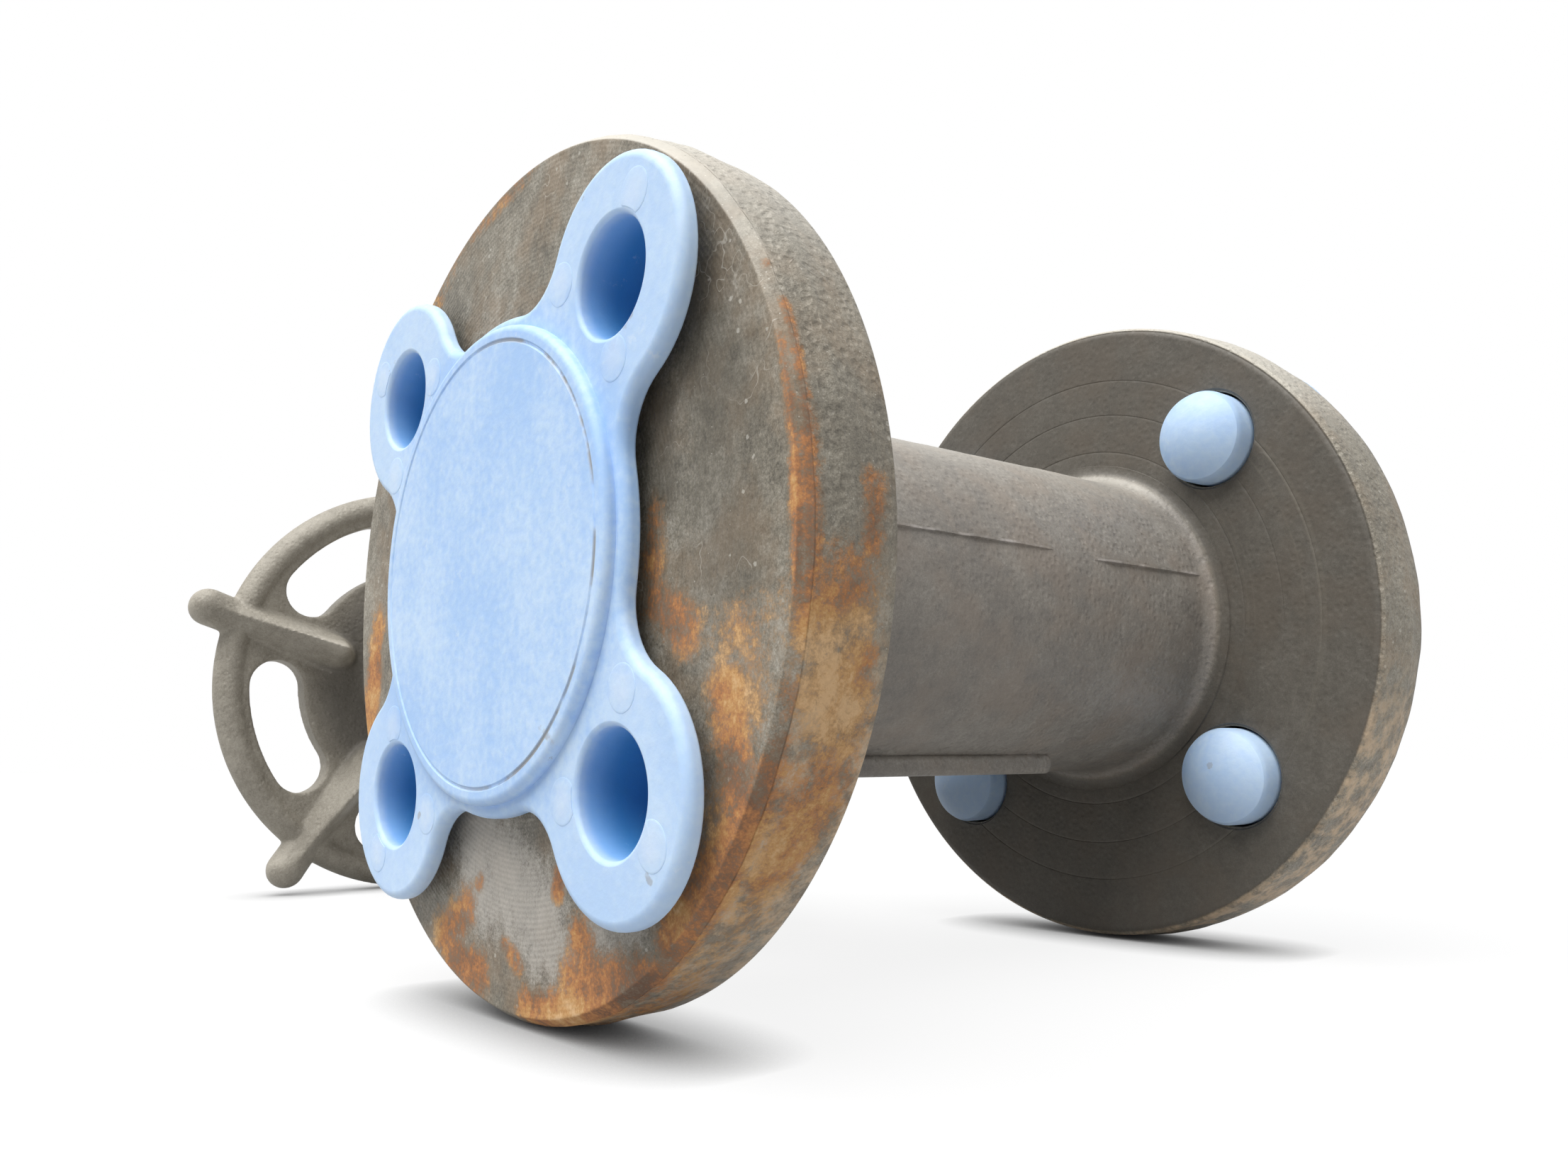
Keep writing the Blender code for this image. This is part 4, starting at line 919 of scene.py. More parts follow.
@dataclass(frozen=True)
class ForgedFinish:
    """Brown-grey oxide skin of the forgings, rusted where the near flange stood in the wet.

    The bands say between which two places a region comes in or fades out, in millimetres: the
    stations lie along the pipe from its middle, and the reaches are distances from its axis.
    """

    dark: Colour = (0.088, 0.078, 0.060)
    mid: Colour = (0.225, 0.203, 0.160)
    light: Colour = (0.440, 0.408, 0.345)
    brown: Colour = (0.270, 0.185, 0.110)
    barrel: Colour = (0.300, 0.278, 0.263)
    # Colour of the painted shade on the flange backs.
    back: Colour = (0.090, 0.082, 0.071)
    # Pale dust colour, used for the dust and hair specks and for the painted highlight on the tops.
    dust: Colour = (0.62, 0.59, 0.52)
    bare: Colour = (0.455, 0.425, 0.380)
    worn: Colour = (0.66, 0.61, 0.58)
    tan: Colour = (0.72, 0.54, 0.36)
    face_stations: Pair = (61.0, 61.5)
    face_reaches: Pair = (53.2, 54.0)
    edge_stations: Pair = (60.1, 60.4)
    edge_reaches: Pair = (52.4, 52.7)
    rim_reaches: Pair = (52.6, 53.2)
    back_stations: tuple[Pair, Pair] = ((46.6, 48.4), (49.1, 49.3))
    back_reaches: Pair = (26.4, 27.4)
    barrel_stations: Pair = (47.6, 49.6)
    tool_pitch: float = 0.62
    skin_depth: float = 0.00030
    rust_runs: tuple[Streak, ...] = ()
    pale_runs: tuple[Streak, ...] = ()
    bare_runs: tuple[Streak, ...] = ()
    worn_runs: tuple[Streak, ...] = ()
    cover_shade_runs: tuple[Streak, ...] = ()

    @staticmethod
    def cover(graph: Graph, effects: Effects, place: Value, runs: Sequence[Streak]) -> Value:
        """Coverage by the runs, the fullest at each place."""
        cover = graph.math("MULTIPLY", 0.0, 0.0)
        for run in runs:
            ends = {"Start": run.start, "Stop": run.stop}
            mask = graph.effect(
                effects.patch, Place=place, **ends, Radius=run.radius, Edge=run.edge
            )["Mask"]
            cover |= mask * run.amount
        return cover

    def material(self, name: str, effects: Effects) -> Material:
        """Makes the material."""
        material, graph, shader, place = new_material(name, Specular_IOR_Level=0.35)
        x, y, z = graph.split(place)
        reach = graph.vector("LENGTH", graph.value("ShaderNodeCombineXYZ", {1: y, 2: z}))
        out = abs(x)
        face = graph.span(out, *self.face_stations)
        face *= graph.span(reach, *self.face_reaches, 1.0, 0.0)
        edge = graph.span(out, *self.edge_stations) * graph.span(reach, *self.edge_reaches)
        rim = graph.span(reach, *self.rim_reaches) * (1.0 - edge)
        inner, outer = self.back_stations
        back = graph.span(out, *inner) * graph.span(out, *outer, 1.0, 0.0)
        back *= graph.span(reach, *self.back_reaches)
        barrel = graph.span(out, *self.barrel_stations, 1.0, 0.0) * (1.0 - back)
        grain = graph.effect(effects.grain, Place=place, Pits=0.5)
        tones = ((0.36, self.dark), (0.50, self.mid), (0.66, self.light))
        colour = graph.ramp(grain["Tone"], tones)
        tint = graph.span(graph.noise(place, 0.11, 4.0, 0.6), 0.42, 0.66)
        colour = graph.mix(tint * 0.42, colour, self.brown)
        colour = graph.mix(rim * 0.14, colour, self.light)
        colour = graph.mix(barrel * 0.5, colour, self.barrel)
        # Painted highlight: the tops of the rims, their edges and the barrel are mixed towards the
        # dust colour, as if lit from above.
        painted_highlight = (rim | edge) * graph.span(z, 18.0, 48.0)
        painted_highlight |= barrel * graph.span(z, 15.0, 26.0, 0.0, 0.45)
        colour = graph.mix(painted_highlight * 0.75, colour, self.dust)
        # Painted shade beside the near cover.
        shadow = self.cover(graph, effects, place, self.cover_shade_runs)
        colour = graph.mix(shadow * face, colour, self.dark)
        # Painted shade: the backs of the flanges, facing the barrel, are darkened.
        colour = graph.mix(back * 0.8, colour, self.back)
        rings = graph.noise(graph.value("ShaderNodeCombineXYZ", {0: reach}), 0.42, 2.0, 0.6)
        arcs = graph.span(rings, 0.55, 0.66) * graph.span(graph.noise(place, 0.03, 1.0), 0.44, 0.58)
        colour = graph.mix(back * (arcs * 0.25), colour, self.mid)
        rough_skin = 1.0 - (barrel | back)
        shade = graph.effect(effects.specks, Place=place, Scale=1.5, Amount=0.22)["Mask"]
        colour = graph.mix(shade * 0.5 * rough_skin, colour, self.dark)
        wander = {"Vector": place, "Scale": 0.12, "Detail": 3.0}
        bend = graph.value("ShaderNodeTexNoise", wander, "Color")
        bent = graph.vector("MULTIPLY_ADD", bend, (22.0, 22.0, 22.0), place)
        hairs = graph.span(graph.cells(bent, 0.06, "DISTANCE_TO_EDGE"), 0.0025, 0.0065, 1.0, 0.0)
        hairs *= graph.span(graph.noise(place, 0.11, 2.0), 0.5, 0.62)
        hairs *= face * 0.4
        coarse = graph.effect(effects.specks, Place=place, Scale=0.6, Amount=0.11)["Mask"]
        small = graph.effect(effects.specks, Place=place, Scale=1.9, Amount=0.26)["Mask"]
        dust = (coarse * 0.5 | small * 0.55) * rough_skin
        colour = graph.mix(dust | hairs, colour, self.dust)
        lines = graph.math("SINE", reach * (TURN / self.tool_pitch)) * 0.5 * face
        bare = self.cover(graph, effects, place, self.bare_runs)
        ragged = (grain["Tone"] - 0.5).scaled(2.2, bare)
        bare = graph.span(ragged, 0.2, 0.95) * (face * 0.8)
        bare_tone = lines.scaled(0.13, 0.5 + grain["Tone"])
        colour = graph.mix(bare, colour, graph.stretched(self.bare, bare_tone))
        cover = self.cover(graph, effects, place, self.rust_runs)
        pale = self.cover(graph, effects, place, self.pale_runs) * 0.24
        pale = edge.scaled(-0.13, pale)
        rust = graph.effect(effects.rust, Place=place, Cover=cover, Pale=pale)
        colour = graph.mix(rust["Stain"] * 0.55, colour, self.brown)
        low = rim * graph.span(z, -4.0, -26.0, 0.0, 0.75)
        low *= graph.span(graph.noise(place, 0.3, 6.0, 0.7), 0.4, 0.62)
        colour = graph.mix(low, colour, self.tan)
        colour = graph.mix(rust["Mask"] * 0.9, colour, rust["Colour"])
        worn = self.cover(graph, effects, place, self.worn_runs)
        worn *= graph.span(graph.noise(place, 0.25, 3.0), 0.42, 0.72)
        colour = graph.mix(worn, colour, self.worn)
        steel = (1.0 - rust["Mask"]) * 0.1
        rough = rust["Mask"].scaled(0.25, grain["Tone"].scaled(0.28, 0.38))
        graph.feed(shader, Base_Color=colour, Metallic=steel, Roughness=rough)
        flat = (face | edge | back) * -0.8
        skin = grain["Height"] * (flat + 1.0)
        skin *= barrel.scaled(-0.5, 1.0)
        peel = graph.noise(place, 1.1, 3.0, 0.6) * (rim * 0.38)
        height = lines.scaled(0.05, skin + peel)
        bumped(graph, shader, height, self.skin_depth)
        return material


@dataclass(frozen=True)
class CastFinish:
    """Dull brown-grey skin of the cast wheel; its bands, in millimetres about the stem, hold
    painted shade and a painted highlight.
    """

    dark: Colour = (0.208, 0.188, 0.152)
    light: Colour = (0.450, 0.416, 0.352)
    web_shade: Colour = (0.105, 0.098, 0.088)
    crest_highlight: Colour = (0.620, 0.580, 0.500)
    dust: Colour = (0.52, 0.49, 0.43)
    web_reaches: Pair = (33.0, 22.0)
    web_stations: Pair = (169.5, 173.0)
    crest_stations: Pair = (168.0, 161.0)
    skin_depth: float = 0.00022

    def material(self, name: str, effects: Effects) -> Material:
        """Makes the material."""
        material, graph, shader, place = new_material(name, Metallic=0.08, Specular_IOR_Level=0.35)
        grain = graph.effect(effects.grain, Place=place, Pits=0.3)
        colour = graph.ramp(grain["Tone"], ((0.34, self.dark), (0.66, self.light)))
        round_stem = graph.vector("MULTIPLY", place, (1.0, 0.0, 1.0))
        web = graph.span(graph.vector("LENGTH", round_stem), *self.web_reaches)
        high = graph.value("ShaderNodeSeparateXYZ", {0: place}, 1)
        web *= graph.span(high, *self.web_stations)
        # Painted shade: the web round the hub is darkened towards the web shade colour.
        colour = graph.mix(web * 0.7, colour, self.web_shade)
        # Painted highlight: the forward ridges of the ribs are lightened.
        ridge = graph.span(high, *self.crest_stations, 0.0, 0.5)
        colour = graph.mix(ridge, colour, self.crest_highlight)
        dust = graph.effect(effects.specks, Place=place, Scale=0.5, Amount=0.1)["Mask"]
        colour = graph.mix(dust * 0.3, colour, self.dust)
        graph.feed(shader, Base_Color=colour, Roughness=grain["Tone"].scaled(0.3, 0.4))
        bumped(graph, shader, grain["Height"], self.skin_depth)
        return material


@dataclass(frozen=True)
class MetalFinish:
    """Machined or plated metal with fine tool marks and a little tarnish."""

    colour: Colour
    tarnish: Colour
    rough: float
    skin_depth: float = 0.00004

    def material(self, name: str, effects: Effects) -> Material:
        """Makes the material."""
        material, graph, shader, place = new_material(name, Metallic=1.0)
        grain = graph.effect(effects.grain, Place=place, Pits=0.2)
        share = graph.span(grain["Tone"], 0.42, 0.66)
        colour = graph.mix(share, self.colour, self.tarnish)
        graph.feed(shader, Base_Color=colour, Roughness=share.scaled(0.25, self.rough))
        bumped(graph, shader, grain["Height"], self.skin_depth)
        return material


@dataclass(frozen=True)
class CoverFinish:
    """Blue polyethylene with pale scuffs, and grime in the ring groove."""

    blue: Colour = (0.375, 0.572, 0.885)
    pale: Colour = (0.570, 0.728, 0.925)
    socket_wall_shade: Colour = (0.170, 0.420, 0.820)
    socket_shade: Colour = (0.065, 0.275, 0.600)
    chalk: Colour = (0.78, 0.84, 0.92)
    grime: Colour = (0.300, 0.270, 0.225)
    plane: float = 61.9
    front: float = 4.1
    groove_radius: float = 27.0
    tab_reach: float = 39.0
    shift: Pair = (0.5, 0.75)
    socket_radius: float = 7.4
    socket_bottom: float = -14.2
    skin_depth: float = 0.00008
    grime_runs: tuple[Streak, ...] = ()
    mark_spots: tuple[Streak, ...] = ()

    def material(self, name: str, effects: Effects) -> Material:
        """Makes the material."""
        material, graph, shader, place = new_material(
            name,
            Subsurface_Weight=0.12,
            Subsurface_Radius=(0.0008, 0.0013, 0.0024),
            Subsurface_Scale=1.0,
            Specular_IOR_Level=0.4,
        )
        x, y, _ = graph.split(place)
        flat = graph.vector("MULTIPLY", place, (0.0, 1.0, 1.0))
        flat = graph.vector("SUBTRACT", flat, (0.0, *self.shift))
        reach = graph.vector("LENGTH", flat)
        out = abs(x) - self.plane
        broad = graph.noise(place, 0.05, 4.0, 0.6)
        fine = graph.noise(place, 0.8, 5.0, 0.65)
        tone = fine.scaled(0.4, broad * 0.6)
        colour = graph.mix(graph.span(tone, 0.36, 0.66), self.blue, self.pale)
        colour = graph.mix(graph.span(reach, 30.0, 37.0, 0.0, 0.5), colour, self.pale)
        corner = self.tab_reach / math.sqrt(2)
        folded = graph.vector("ABSOLUTE", flat)
        from_peg = graph.vector("DISTANCE", folded, (0.0, corner, corner))
        inside = graph.span(from_peg, self.socket_radius, self.socket_radius - 0.4)
        depth = graph.span(out, self.front - 0.3, self.front - 5.5)
        shallow = graph.span(out, self.front - 0.2, self.front - 2.0, 0.0, 0.75)
        inside *= graph.math("GREATER_THAN", out, self.socket_bottom)
        # Painted shade inside the peg sockets: a bluer tint on the walls, for light that bounces in
        # the recess, and darker towards the floor.
        colour = graph.mix(inside * shallow, colour, self.socket_wall_shade)
        colour = graph.mix(inside * depth, colour, self.socket_shade)
        marks = ForgedFinish.cover(graph, effects, place, self.mark_spots)
        colour = graph.mix(marks * 0.26, colour, self.chalk)
        scuff = graph.span(graph.noise(place, 0.22, 6.0, 0.75, 0.8), 0.60, 0.70)
        scuff *= graph.span(graph.noise(place, 1.6, 3.0), 0.42, 0.6)
        colour = graph.mix(scuff * 0.35, colour, self.chalk)
        groove = graph.span(abs(reach - self.groove_radius), 0.1, 0.42, 1.0, 0.0)
        raised = graph.span(out, self.front + 0.5, self.front + 0.9)
        dirty = graph.span(graph.noise(place, 0.13, 4.0, 0.6), 0.42, 0.56)
        low_side = graph.span(y, 14.0, -14.0)
        line = groove * raised * (dirty * low_side)
        stain = ForgedFinish.cover(graph, effects, place, self.grime_runs)
        ragged = (graph.noise(place, 0.7, 5.0) - 0.5).scaled(1.6, stain)
        stain = graph.span(ragged, 0.50, 0.85)
        dirt = line * 0.8 | stain * 0.5
        specks = graph.effect(effects.specks, Place=place, Scale=0.3, Amount=0.05)["Mask"]
        colour = graph.mix(dirt | specks * 0.35, colour, self.grime)
        graph.feed(shader, Base_Color=colour, Roughness=fine.scaled(0.25, 0.36))
        bumped(graph, shader, broad.scaled(1.5, fine * 0.6), self.skin_depth)
        return material


@dataclass(frozen=True)
class SoftFinish:
    """Matt black packing and gasket."""

    dark: Colour = (0.030, 0.030, 0.032)
    light: Colour = (0.085, 0.085, 0.090)
    skin_depth: float = 0.00010

    def material(self, name: str, effects: Effects) -> Material:
        """Makes the material."""
        material, graph, shader, place = new_material(name, Roughness=0.72)
        grain = graph.effect(effects.grain, Place=place, Pits=0.3)
        colour = graph.ramp(grain["Tone"], ((0.36, self.dark), (0.66, self.light)))
        graph.feed(shader, Base_Color=colour)
        bumped(graph, shader, grain["Height"], self.skin_depth)
        return material


# Sub-assemblies


@dataclass
class BodyForging:
    """Both flanges, the barrel, the wedge chamber and the bonnet joint in one forging."""

    half_length: float = 0.0635
    raised_radius: float = 0.0254
    edge_plane: float = 0.0619
    step_radius: float = 0.0450
    step_depth: float = 0.0002
    flange_radius: float = 0.0540
    flange_back: float = 0.0489
    chamfer: float = 0.0013
    back_round: float = 0.0018
    barrel_radius: float = 0.0255
    barrel_fillet: float = 0.0030
    collar_rise: float = 0.00025
    port_radius: float = 0.0127
    bolt_circle_radius: float = 0.0390
    bolt_shift: Pair = (0.0005, 0.00075)
    bolt_hole_radius: float = 0.00795
    chamber_half: float = 0.0180
    chamber_low: float = -0.0258
    chamber_high: float = 0.0225
    chamber_front: float = -0.0100
    ledge_front: float = -0.0119
    ledge_top: float = -0.0228
    ledge_half: float = 0.0235
    flash_runs: tuple[tuple[float, float, float], ...] = (
        (-0.0480, 0.0100, 14.5),
        (0.0190, 0.0478, 12.9),
    )
    joint_high: float = 0.0535
    joint_thickness: float = 0.0110
    joint_half_length: float = 0.0270
    joint_half_depth: float = 0.0300
    joint_corner: float = 0.0080
    cavity_half: float = 0.0115
    cavity_radius: float = 0.0170
    seat_pocket_radius: float = 0.0159
    seat_pocket_end: float = 0.0150
    screw_x: float = 0.0200
    screw_z: float = 0.0230
    screw_hole: float = 0.0043
    screw_depth: float = 0.0088
    steps: int = 240

    def half_profile(self) -> Outline:
        """Outline of one flange and half of the barrel as (radius, station), from the bore out."""
        face = self.half_length
        edge = self.edge_plane
        outer_face = edge - self.step_depth
        profile: Outline = [(self.port_radius, face - 0.0006), (self.port_radius + 0.0006, face)]
        pitch = 0.0008
        radius = self.port_radius + 0.0015
        while radius < self.raised_radius - pitch:
            profile += [(radius, face), (radius + pitch / 2, face - 0.00007)]
            radius += pitch
        profile += [
            (self.raised_radius - 0.0003, face),
            (self.raised_radius, face - 0.0003),
            (self.raised_radius, edge),
            (self.step_radius - 0.0008, edge),
            (self.step_radius + 0.0008, outer_face),
        ]
        corner = self.flange_radius - self.chamfer
        profile += arc((corner - 0.0003, outer_face - 0.0003), 0.0003, math.pi / 2, -math.pi / 4, 3)
        rim_start = outer_face - self.chamfer
        back = self.flange_back
        ridge = (rim_start + back + self.back_round) / 2 + 0.0012
        low_rim = self.flange_radius - 0.0004
        rim_end = back + self.back_round
        for k in range(4):
            profile.append((low_rim + 0.00015 * k / 3, rim_start + (ridge - rim_start) * k / 4))
        profile.append((self.flange_radius, ridge))
        for k in range(1, 4):
            fall = 0.00045 * k / 4
            profile.append((self.flange_radius - fall, ridge + (rim_end - ridge) * k / 4))
        profile += arc((low_rim - self.back_round, rim_end), self.back_round, 0.0, -math.pi / 2, 8)
        for radius in (0.0440, 0.0378, 0.0312):
            profile += [(radius + 0.0002, back), (radius, back + 0.00012), (radius - 0.0004, back)]
        start = back - self.collar_rise - self.barrel_fillet
        fillet = (self.barrel_radius + self.barrel_fillet, start)
        profile += [(fillet[0] + 0.0003, back), (fillet[0] + 0.0002, back - self.collar_rise)]
        profile += arc(fillet, self.barrel_fillet, math.pi / 2, math.pi / 2, 8)
        profile += [(self.barrel_radius, start * (1 - k / 26)) for k in range(1, 26)]
        return profile

    def hammered(self, made: Thing) -> Thing:
        """Gives the rim and the barrel the slight unevenness of a hot forging."""
        for vertex in made.data.vertices:
            x, y, z = vertex.co
            radius = math.hypot(y, z)
            if radius > self.flange_radius - 0.0007:
                depth = 0.00014
            elif abs(radius - self.barrel_radius) < 0.0002 and abs(x) < self.flange_back:
                depth = 0.00012
            else:
                continue
            swell = noise.fractal(vertex.co * 140.0, 0.9, 2.0, 3) * depth
            share = min(0.0, swell - depth) / radius if depth > 0.00013 else swell / radius
            vertex.co.y += y * share
            vertex.co.z += z * share
        return made

    def flash(self) -> list[Thing]:
        """Trimmed flash that the dies left along the front of the barrel."""
        ridges = []
        for low, high, angle in self.flash_runs:
            stations = 24
            loops = []
            for k in range(stations + 1):
                x = low + (high - low) * k / stations
                rise = 0.00034 + 0.00024 * noise.noise(Vector((x * 260.0, 3.1, 0.0)))
                rise *= min(1.0, 8.0 * k / stations, 8.0 * (1 - k / stations)) ** 0.5
                top = self.barrel_radius + max(rise, 0.00003)
                root = self.barrel_radius - 0.0012
                half = 0.00040
                crest_highlight = half * 0.45
                loops.append(([(-root, -half), (-root, half), (-top, crest_highlight), (-top, -crest_highlight)], x))
            ridge = lofted("flash", loops, Axis.PIPE)
            ridges.append(moved(ridge, turn=-math.radians(angle), about="X"))
        return ridges

    def ledge(self) -> Thing:
        """Step along the foot of the wedge chamber."""
        half = (self.ledge_top - self.chamber_low) / 2
        middle = (0.0, self.ledge_top - half)
        ends = (self.ledge_front, 0.0)
        return block("ledge", (self.ledge_half, half), 0.0013, ends, (0.0009, 0.0), middle)

    def worn_runs(self) -> tuple[Streak, ...]:
        """Edges that are rubbed bright, in millimetres: the flash and the ledge."""
        runs = []
        for low, high, angle in self.flash_runs:
            y, z = polar((self.barrel_radius + 0.0004) / MM, math.pi - math.radians(angle))
            runs.append(Streak((low / MM, y, z), (high / MM, y, z), 0.3, 0.5, 0.4))
        edge = (self.ledge_front / MM + 0.4, self.ledge_top / MM - 0.1)
        end = self.ledge_half / MM
        runs.append(Streak((end - 13.0, *edge), (end - 1.0, *edge), 0.4, 0.6, 0.6))
        return tuple(runs)

    def cutters(self) -> list[Thing]:
        """Tools for the wedge cavity, the seat pockets, the bolt holes and the screw holes."""
        past = 0.002
        top = self.joint_high + past
        bowl = [(top, -self.cavity_radius), (top, self.cavity_radius)]
        bowl += arc((0.0, 0.0), self.cavity_radius, math.pi / 2, math.pi, 48)
        ends = (-self.cavity_half, self.cavity_half)
        tools = [lofted("cavity", [(bowl, at) for at in ends], Axis.PIPE)]
        end = self.seat_pocket_end
        tools.append(rod("pockets", self.seat_pocket_radius, Axis.PIPE, -end, end))
        hole = self.bolt_hole_radius
        break_edge = 0.0005
        outer_face = self.edge_plane - self.step_depth / 2
        for side in (-1, 1):
            for angle in QUARTERS:
                y, z = polar(self.bolt_circle_radius, angle)
                profile = [
                    (0.0, side * (outer_face + past)),
                    (hole + break_edge + past, side * (outer_face + past)),
                    (hole, side * (outer_face - break_edge)),
                    (hole, side * (self.flange_back + break_edge)),
                    (hole + break_edge + past, side * (self.flange_back - past)),
                    (0.0, side * (self.flange_back - past)),
                ]
                spot = (0.0, y + self.bolt_shift[0], z + self.bolt_shift[1])
                tools.append(moved(turned("bolt_hole", profile, Axis.PIPE, 64), spot))
        ends = (self.joint_high - self.screw_depth, top)
        spots = corners(self.screw_x, self.screw_z)
        return tools + drills("screw_hole", self.screw_hole, ends, spots)

    def build(self, material: Material) -> Thing:
        """Makes the forging and dresses it."""
        half = self.half_profile()
        profile = half + [(radius, -station) for radius, station in reversed(half)]
        body = self.hammered(turned("body_forging", profile, Axis.PIPE, self.steps))
        middle = (0.0, (self.chamber_low + self.chamber_high) / 2)
        tall = (self.chamber_high - self.chamber_low) / 2
        ends = (self.chamber_front, self.joint_high - self.joint_thickness / 2)
        halves = (self.chamber_half, tall)
        chamber = block("chamber", halves, 0.0050, ends, (0.0020, 0.0), middle)
        ends = (self.joint_high - self.joint_thickness, self.joint_high)
        halves = (self.joint_half_length, self.joint_half_depth)
        joint = block("joint", halves, self.joint_corner, ends, (0.0008, 0.0004))
        merged(body, chamber, joint, self.ledge(), *self.flash())
        carved(body, *self.cutters())
        return dressed(shaded(body), "valve", "forged_steel", material, "valve_body")


@dataclass
class FlangeCover:
    """Push-in cover: a plate with four tabs, a crowned middle and a hollow peg behind each tab."""

    back: float = 0.0019
    front: float = 0.0041
    crown_front: float = 0.0055
    disc_radius: float = 0.0305
    tab_radius: float = 0.0138
    tab_reach: float = 0.0390
    shift: Pair = (0.0005, 0.00075)
    blend_radius: float = 0.0080
    edge_round: float = 0.0012
    crown_radius: float = 0.0290
    crown_round: float = 0.0010
    groove_radius: float = 0.0270
    groove_depth: float = 0.00017
    hollow_radius: float = 0.0234
    peg_radius: float = 0.0076
    peg_tip: float = 0.0187
    peg_dome: float = 0.0028
    socket_radius: float = 0.0068
    socket_end: float = 0.0052
    socket_bottom: float = 0.0137
    socket_flare: float = 0.0007
    mark_radius: float = 0.0026
    marks: tuple[Pair, ...] = ((-12.0, 0.0093), (130.0, 0.0095), (238.0, 0.0108))
    plane: float = 0.0619

    def outline(self, inset: float) -> Outline:
        """Disc with four round tabs in (y, z), each blended into the disc, moved inwards."""
        disc = self.disc_radius + self.blend_radius
        tab = self.tab_radius + self.blend_radius
        reach = self.tab_reach
        swing = math.acos((reach**2 + disc**2 - tab**2) / (2 * reach * disc))
        tilt = math.acos((reach**2 + tab**2 - disc**2) / (2 * reach * tab))
        blend = swing + tilt - math.pi
        round_tab = 2 * (math.pi - tilt)
        hollow = self.blend_radius + inset
        tip = self.tab_radius - inset
        between = math.pi / 2 - 2 * swing
        outline: Outline = []
        for angle in QUARTERS:
            first, last = angle - swing, angle + swing
            for bend in (
                arc(polar(disc, first), hollow, first + math.pi, blend, 10),
                arc(polar(reach, angle), tip, angle - round_tab / 2, round_tab, 44),
                arc(polar(disc, last), hollow, last - math.pi - blend, blend, 10),
                arc((0.0, 0.0), self.disc_radius - inset, last, between, 8),
            ):
                outline += bend[:-1]
        return outline

    def tabs(self) -> list[tuple[Pair, Outline]]:
        """Middle of each tab in (y, z), with the middles of its mould marks."""
        tabs = []
        for angle in QUARTERS:
            y, z = polar(self.tab_reach, angle)
            spots = [polar(reach, angle + math.radians(swing)) for swing, reach in self.marks]
            tabs.append(((y, z), [(y + u, z + v) for u, v in spots]))
        return tabs

    def crown(self) -> Thing:
        """Raised middle with a rounded edge and a ring groove."""
        edge = self.crown_radius - self.crown_round
        groove = self.groove_radius
        floor = self.groove_depth - self.crown_front
        profile = [
            (0.0, -self.crown_front),
            (groove - 0.00030, -self.crown_front),
            (groove - 0.00012, floor),
            (groove + 0.00012, floor),
            (groove + 0.00030, -self.crown_front),
        ]
        middle = (edge, self.crown_front - self.crown_round)
        bend = arc(middle, self.crown_round, math.pi / 2, -math.pi / 2, 8)
        profile += [(radius, -at) for radius, at in bend]
        root = -self.back - 0.001
        profile += [(self.crown_radius, root), (0.0, root)]
        return turned("crown", profile, Axis.PIPE, 192)

    def peg(self) -> Thing:
        """Round peg with a domed end."""
        bulge = (self.peg_radius**2 + self.peg_dome**2) / (2 * self.peg_dome)
        sweep = math.asin(self.peg_radius / bulge)
        dome = arc((self.peg_tip - bulge, 0.0), bulge, 0.0, sweep * 0.93, 8)
        shoulder = self.peg_tip - self.peg_dome
        root = -self.back - 0.001
        profile = [(0.0, self.peg_tip), *[(r, s) for s, r in dome[1:]]]
        profile += [(self.peg_radius, shoulder - 0.0006), (self.peg_radius, root), (0.0, root)]
        return turned("peg", profile, Axis.PIPE, 64)

    def socket(self) -> Thing:
        """Hollow of a peg with a wide rounded mouth."""
        flare = self.socket_flare
        mouth = self.socket_radius + flare
        bend = arc((mouth, flare - self.front - 0.00002), flare, math.pi, math.pi / 2, 10)
        foot = 0.002
        middle = (self.socket_end - foot, self.socket_bottom - foot)
        profile = [(0.0, self.socket_bottom)]
        profile += arc(middle, foot, math.pi / 2, -math.pi / 2, 5)
        profile += [(radius, at) for radius, at in bend]
        profile += [(mouth, -self.front - 0.003), (0.0, -self.front - 0.003)]
        return turned("socket", profile, Axis.PIPE, 80)

    def mark(self) -> Thing:
        """Low disc that a mould pin left on a tab."""
        low = 0.0003
        rise = 0.00008
        profile = [
            (0.0, -self.front - rise),
            (self.mark_radius - 0.0002, -self.front - rise),
            (self.mark_radius, -self.front - rise / 3),
            (self.mark_radius, low - self.front),
            (0.0, low - self.front),
        ]
        return turned("mark", profile, Axis.PIPE, 40)

    def mark_runs(self) -> tuple[Streak, ...]:
        """Where the mould marks lie on the cover of the -X flange, in millimetres."""
        x = -self.plane - self.front
        runs = []
        for _, marks in self.tabs():
            for y, z in marks:
                spot = ((y + self.shift[0]) / MM, (z + self.shift[1]) / MM)
                low, high = ((at / MM, *spot) for at in (x, x + 0.0005))
                runs.append(Streak(low, high, self.mark_radius / MM, 1.0, 0.3))
        return tuple(runs)

    def build(self, name: str, turn: float, body: str, node: str, material: Material) -> Thing:
        """Makes a cover for the -X flange, turns it to its flange and dresses it."""
        ends = (-self.front, -self.back)
        cover = eased(name, self.outline, Axis.PIPE, ends, (self.edge_round, 0.0004), 7)
        parts = [self.crown()]
        sockets = []
        for middle, marks in self.tabs():
            parts.append(moved(self.peg(), (0.0, *middle)))
            sockets.append(moved(self.socket(), (0.0, *middle)))
            parts += [moved(self.mark(), (0.0, *spot)) for spot in marks]
        merged(cover, *parts)
        hollow = rod("hollow", self.hollow_radius, Axis.PIPE, -self.crown_front + 0.002, 0.002, 96)
        carved(cover, hollow, *sockets)
        moved(cover, (-self.plane, 0.0, 0.0))
        moved(cover, turn=turn, about="Z")
        moved(cover, (0.0, *self.shift))
        return dressed(shaded(cover, 28.0), body, "blue_polyethylene", material, node)


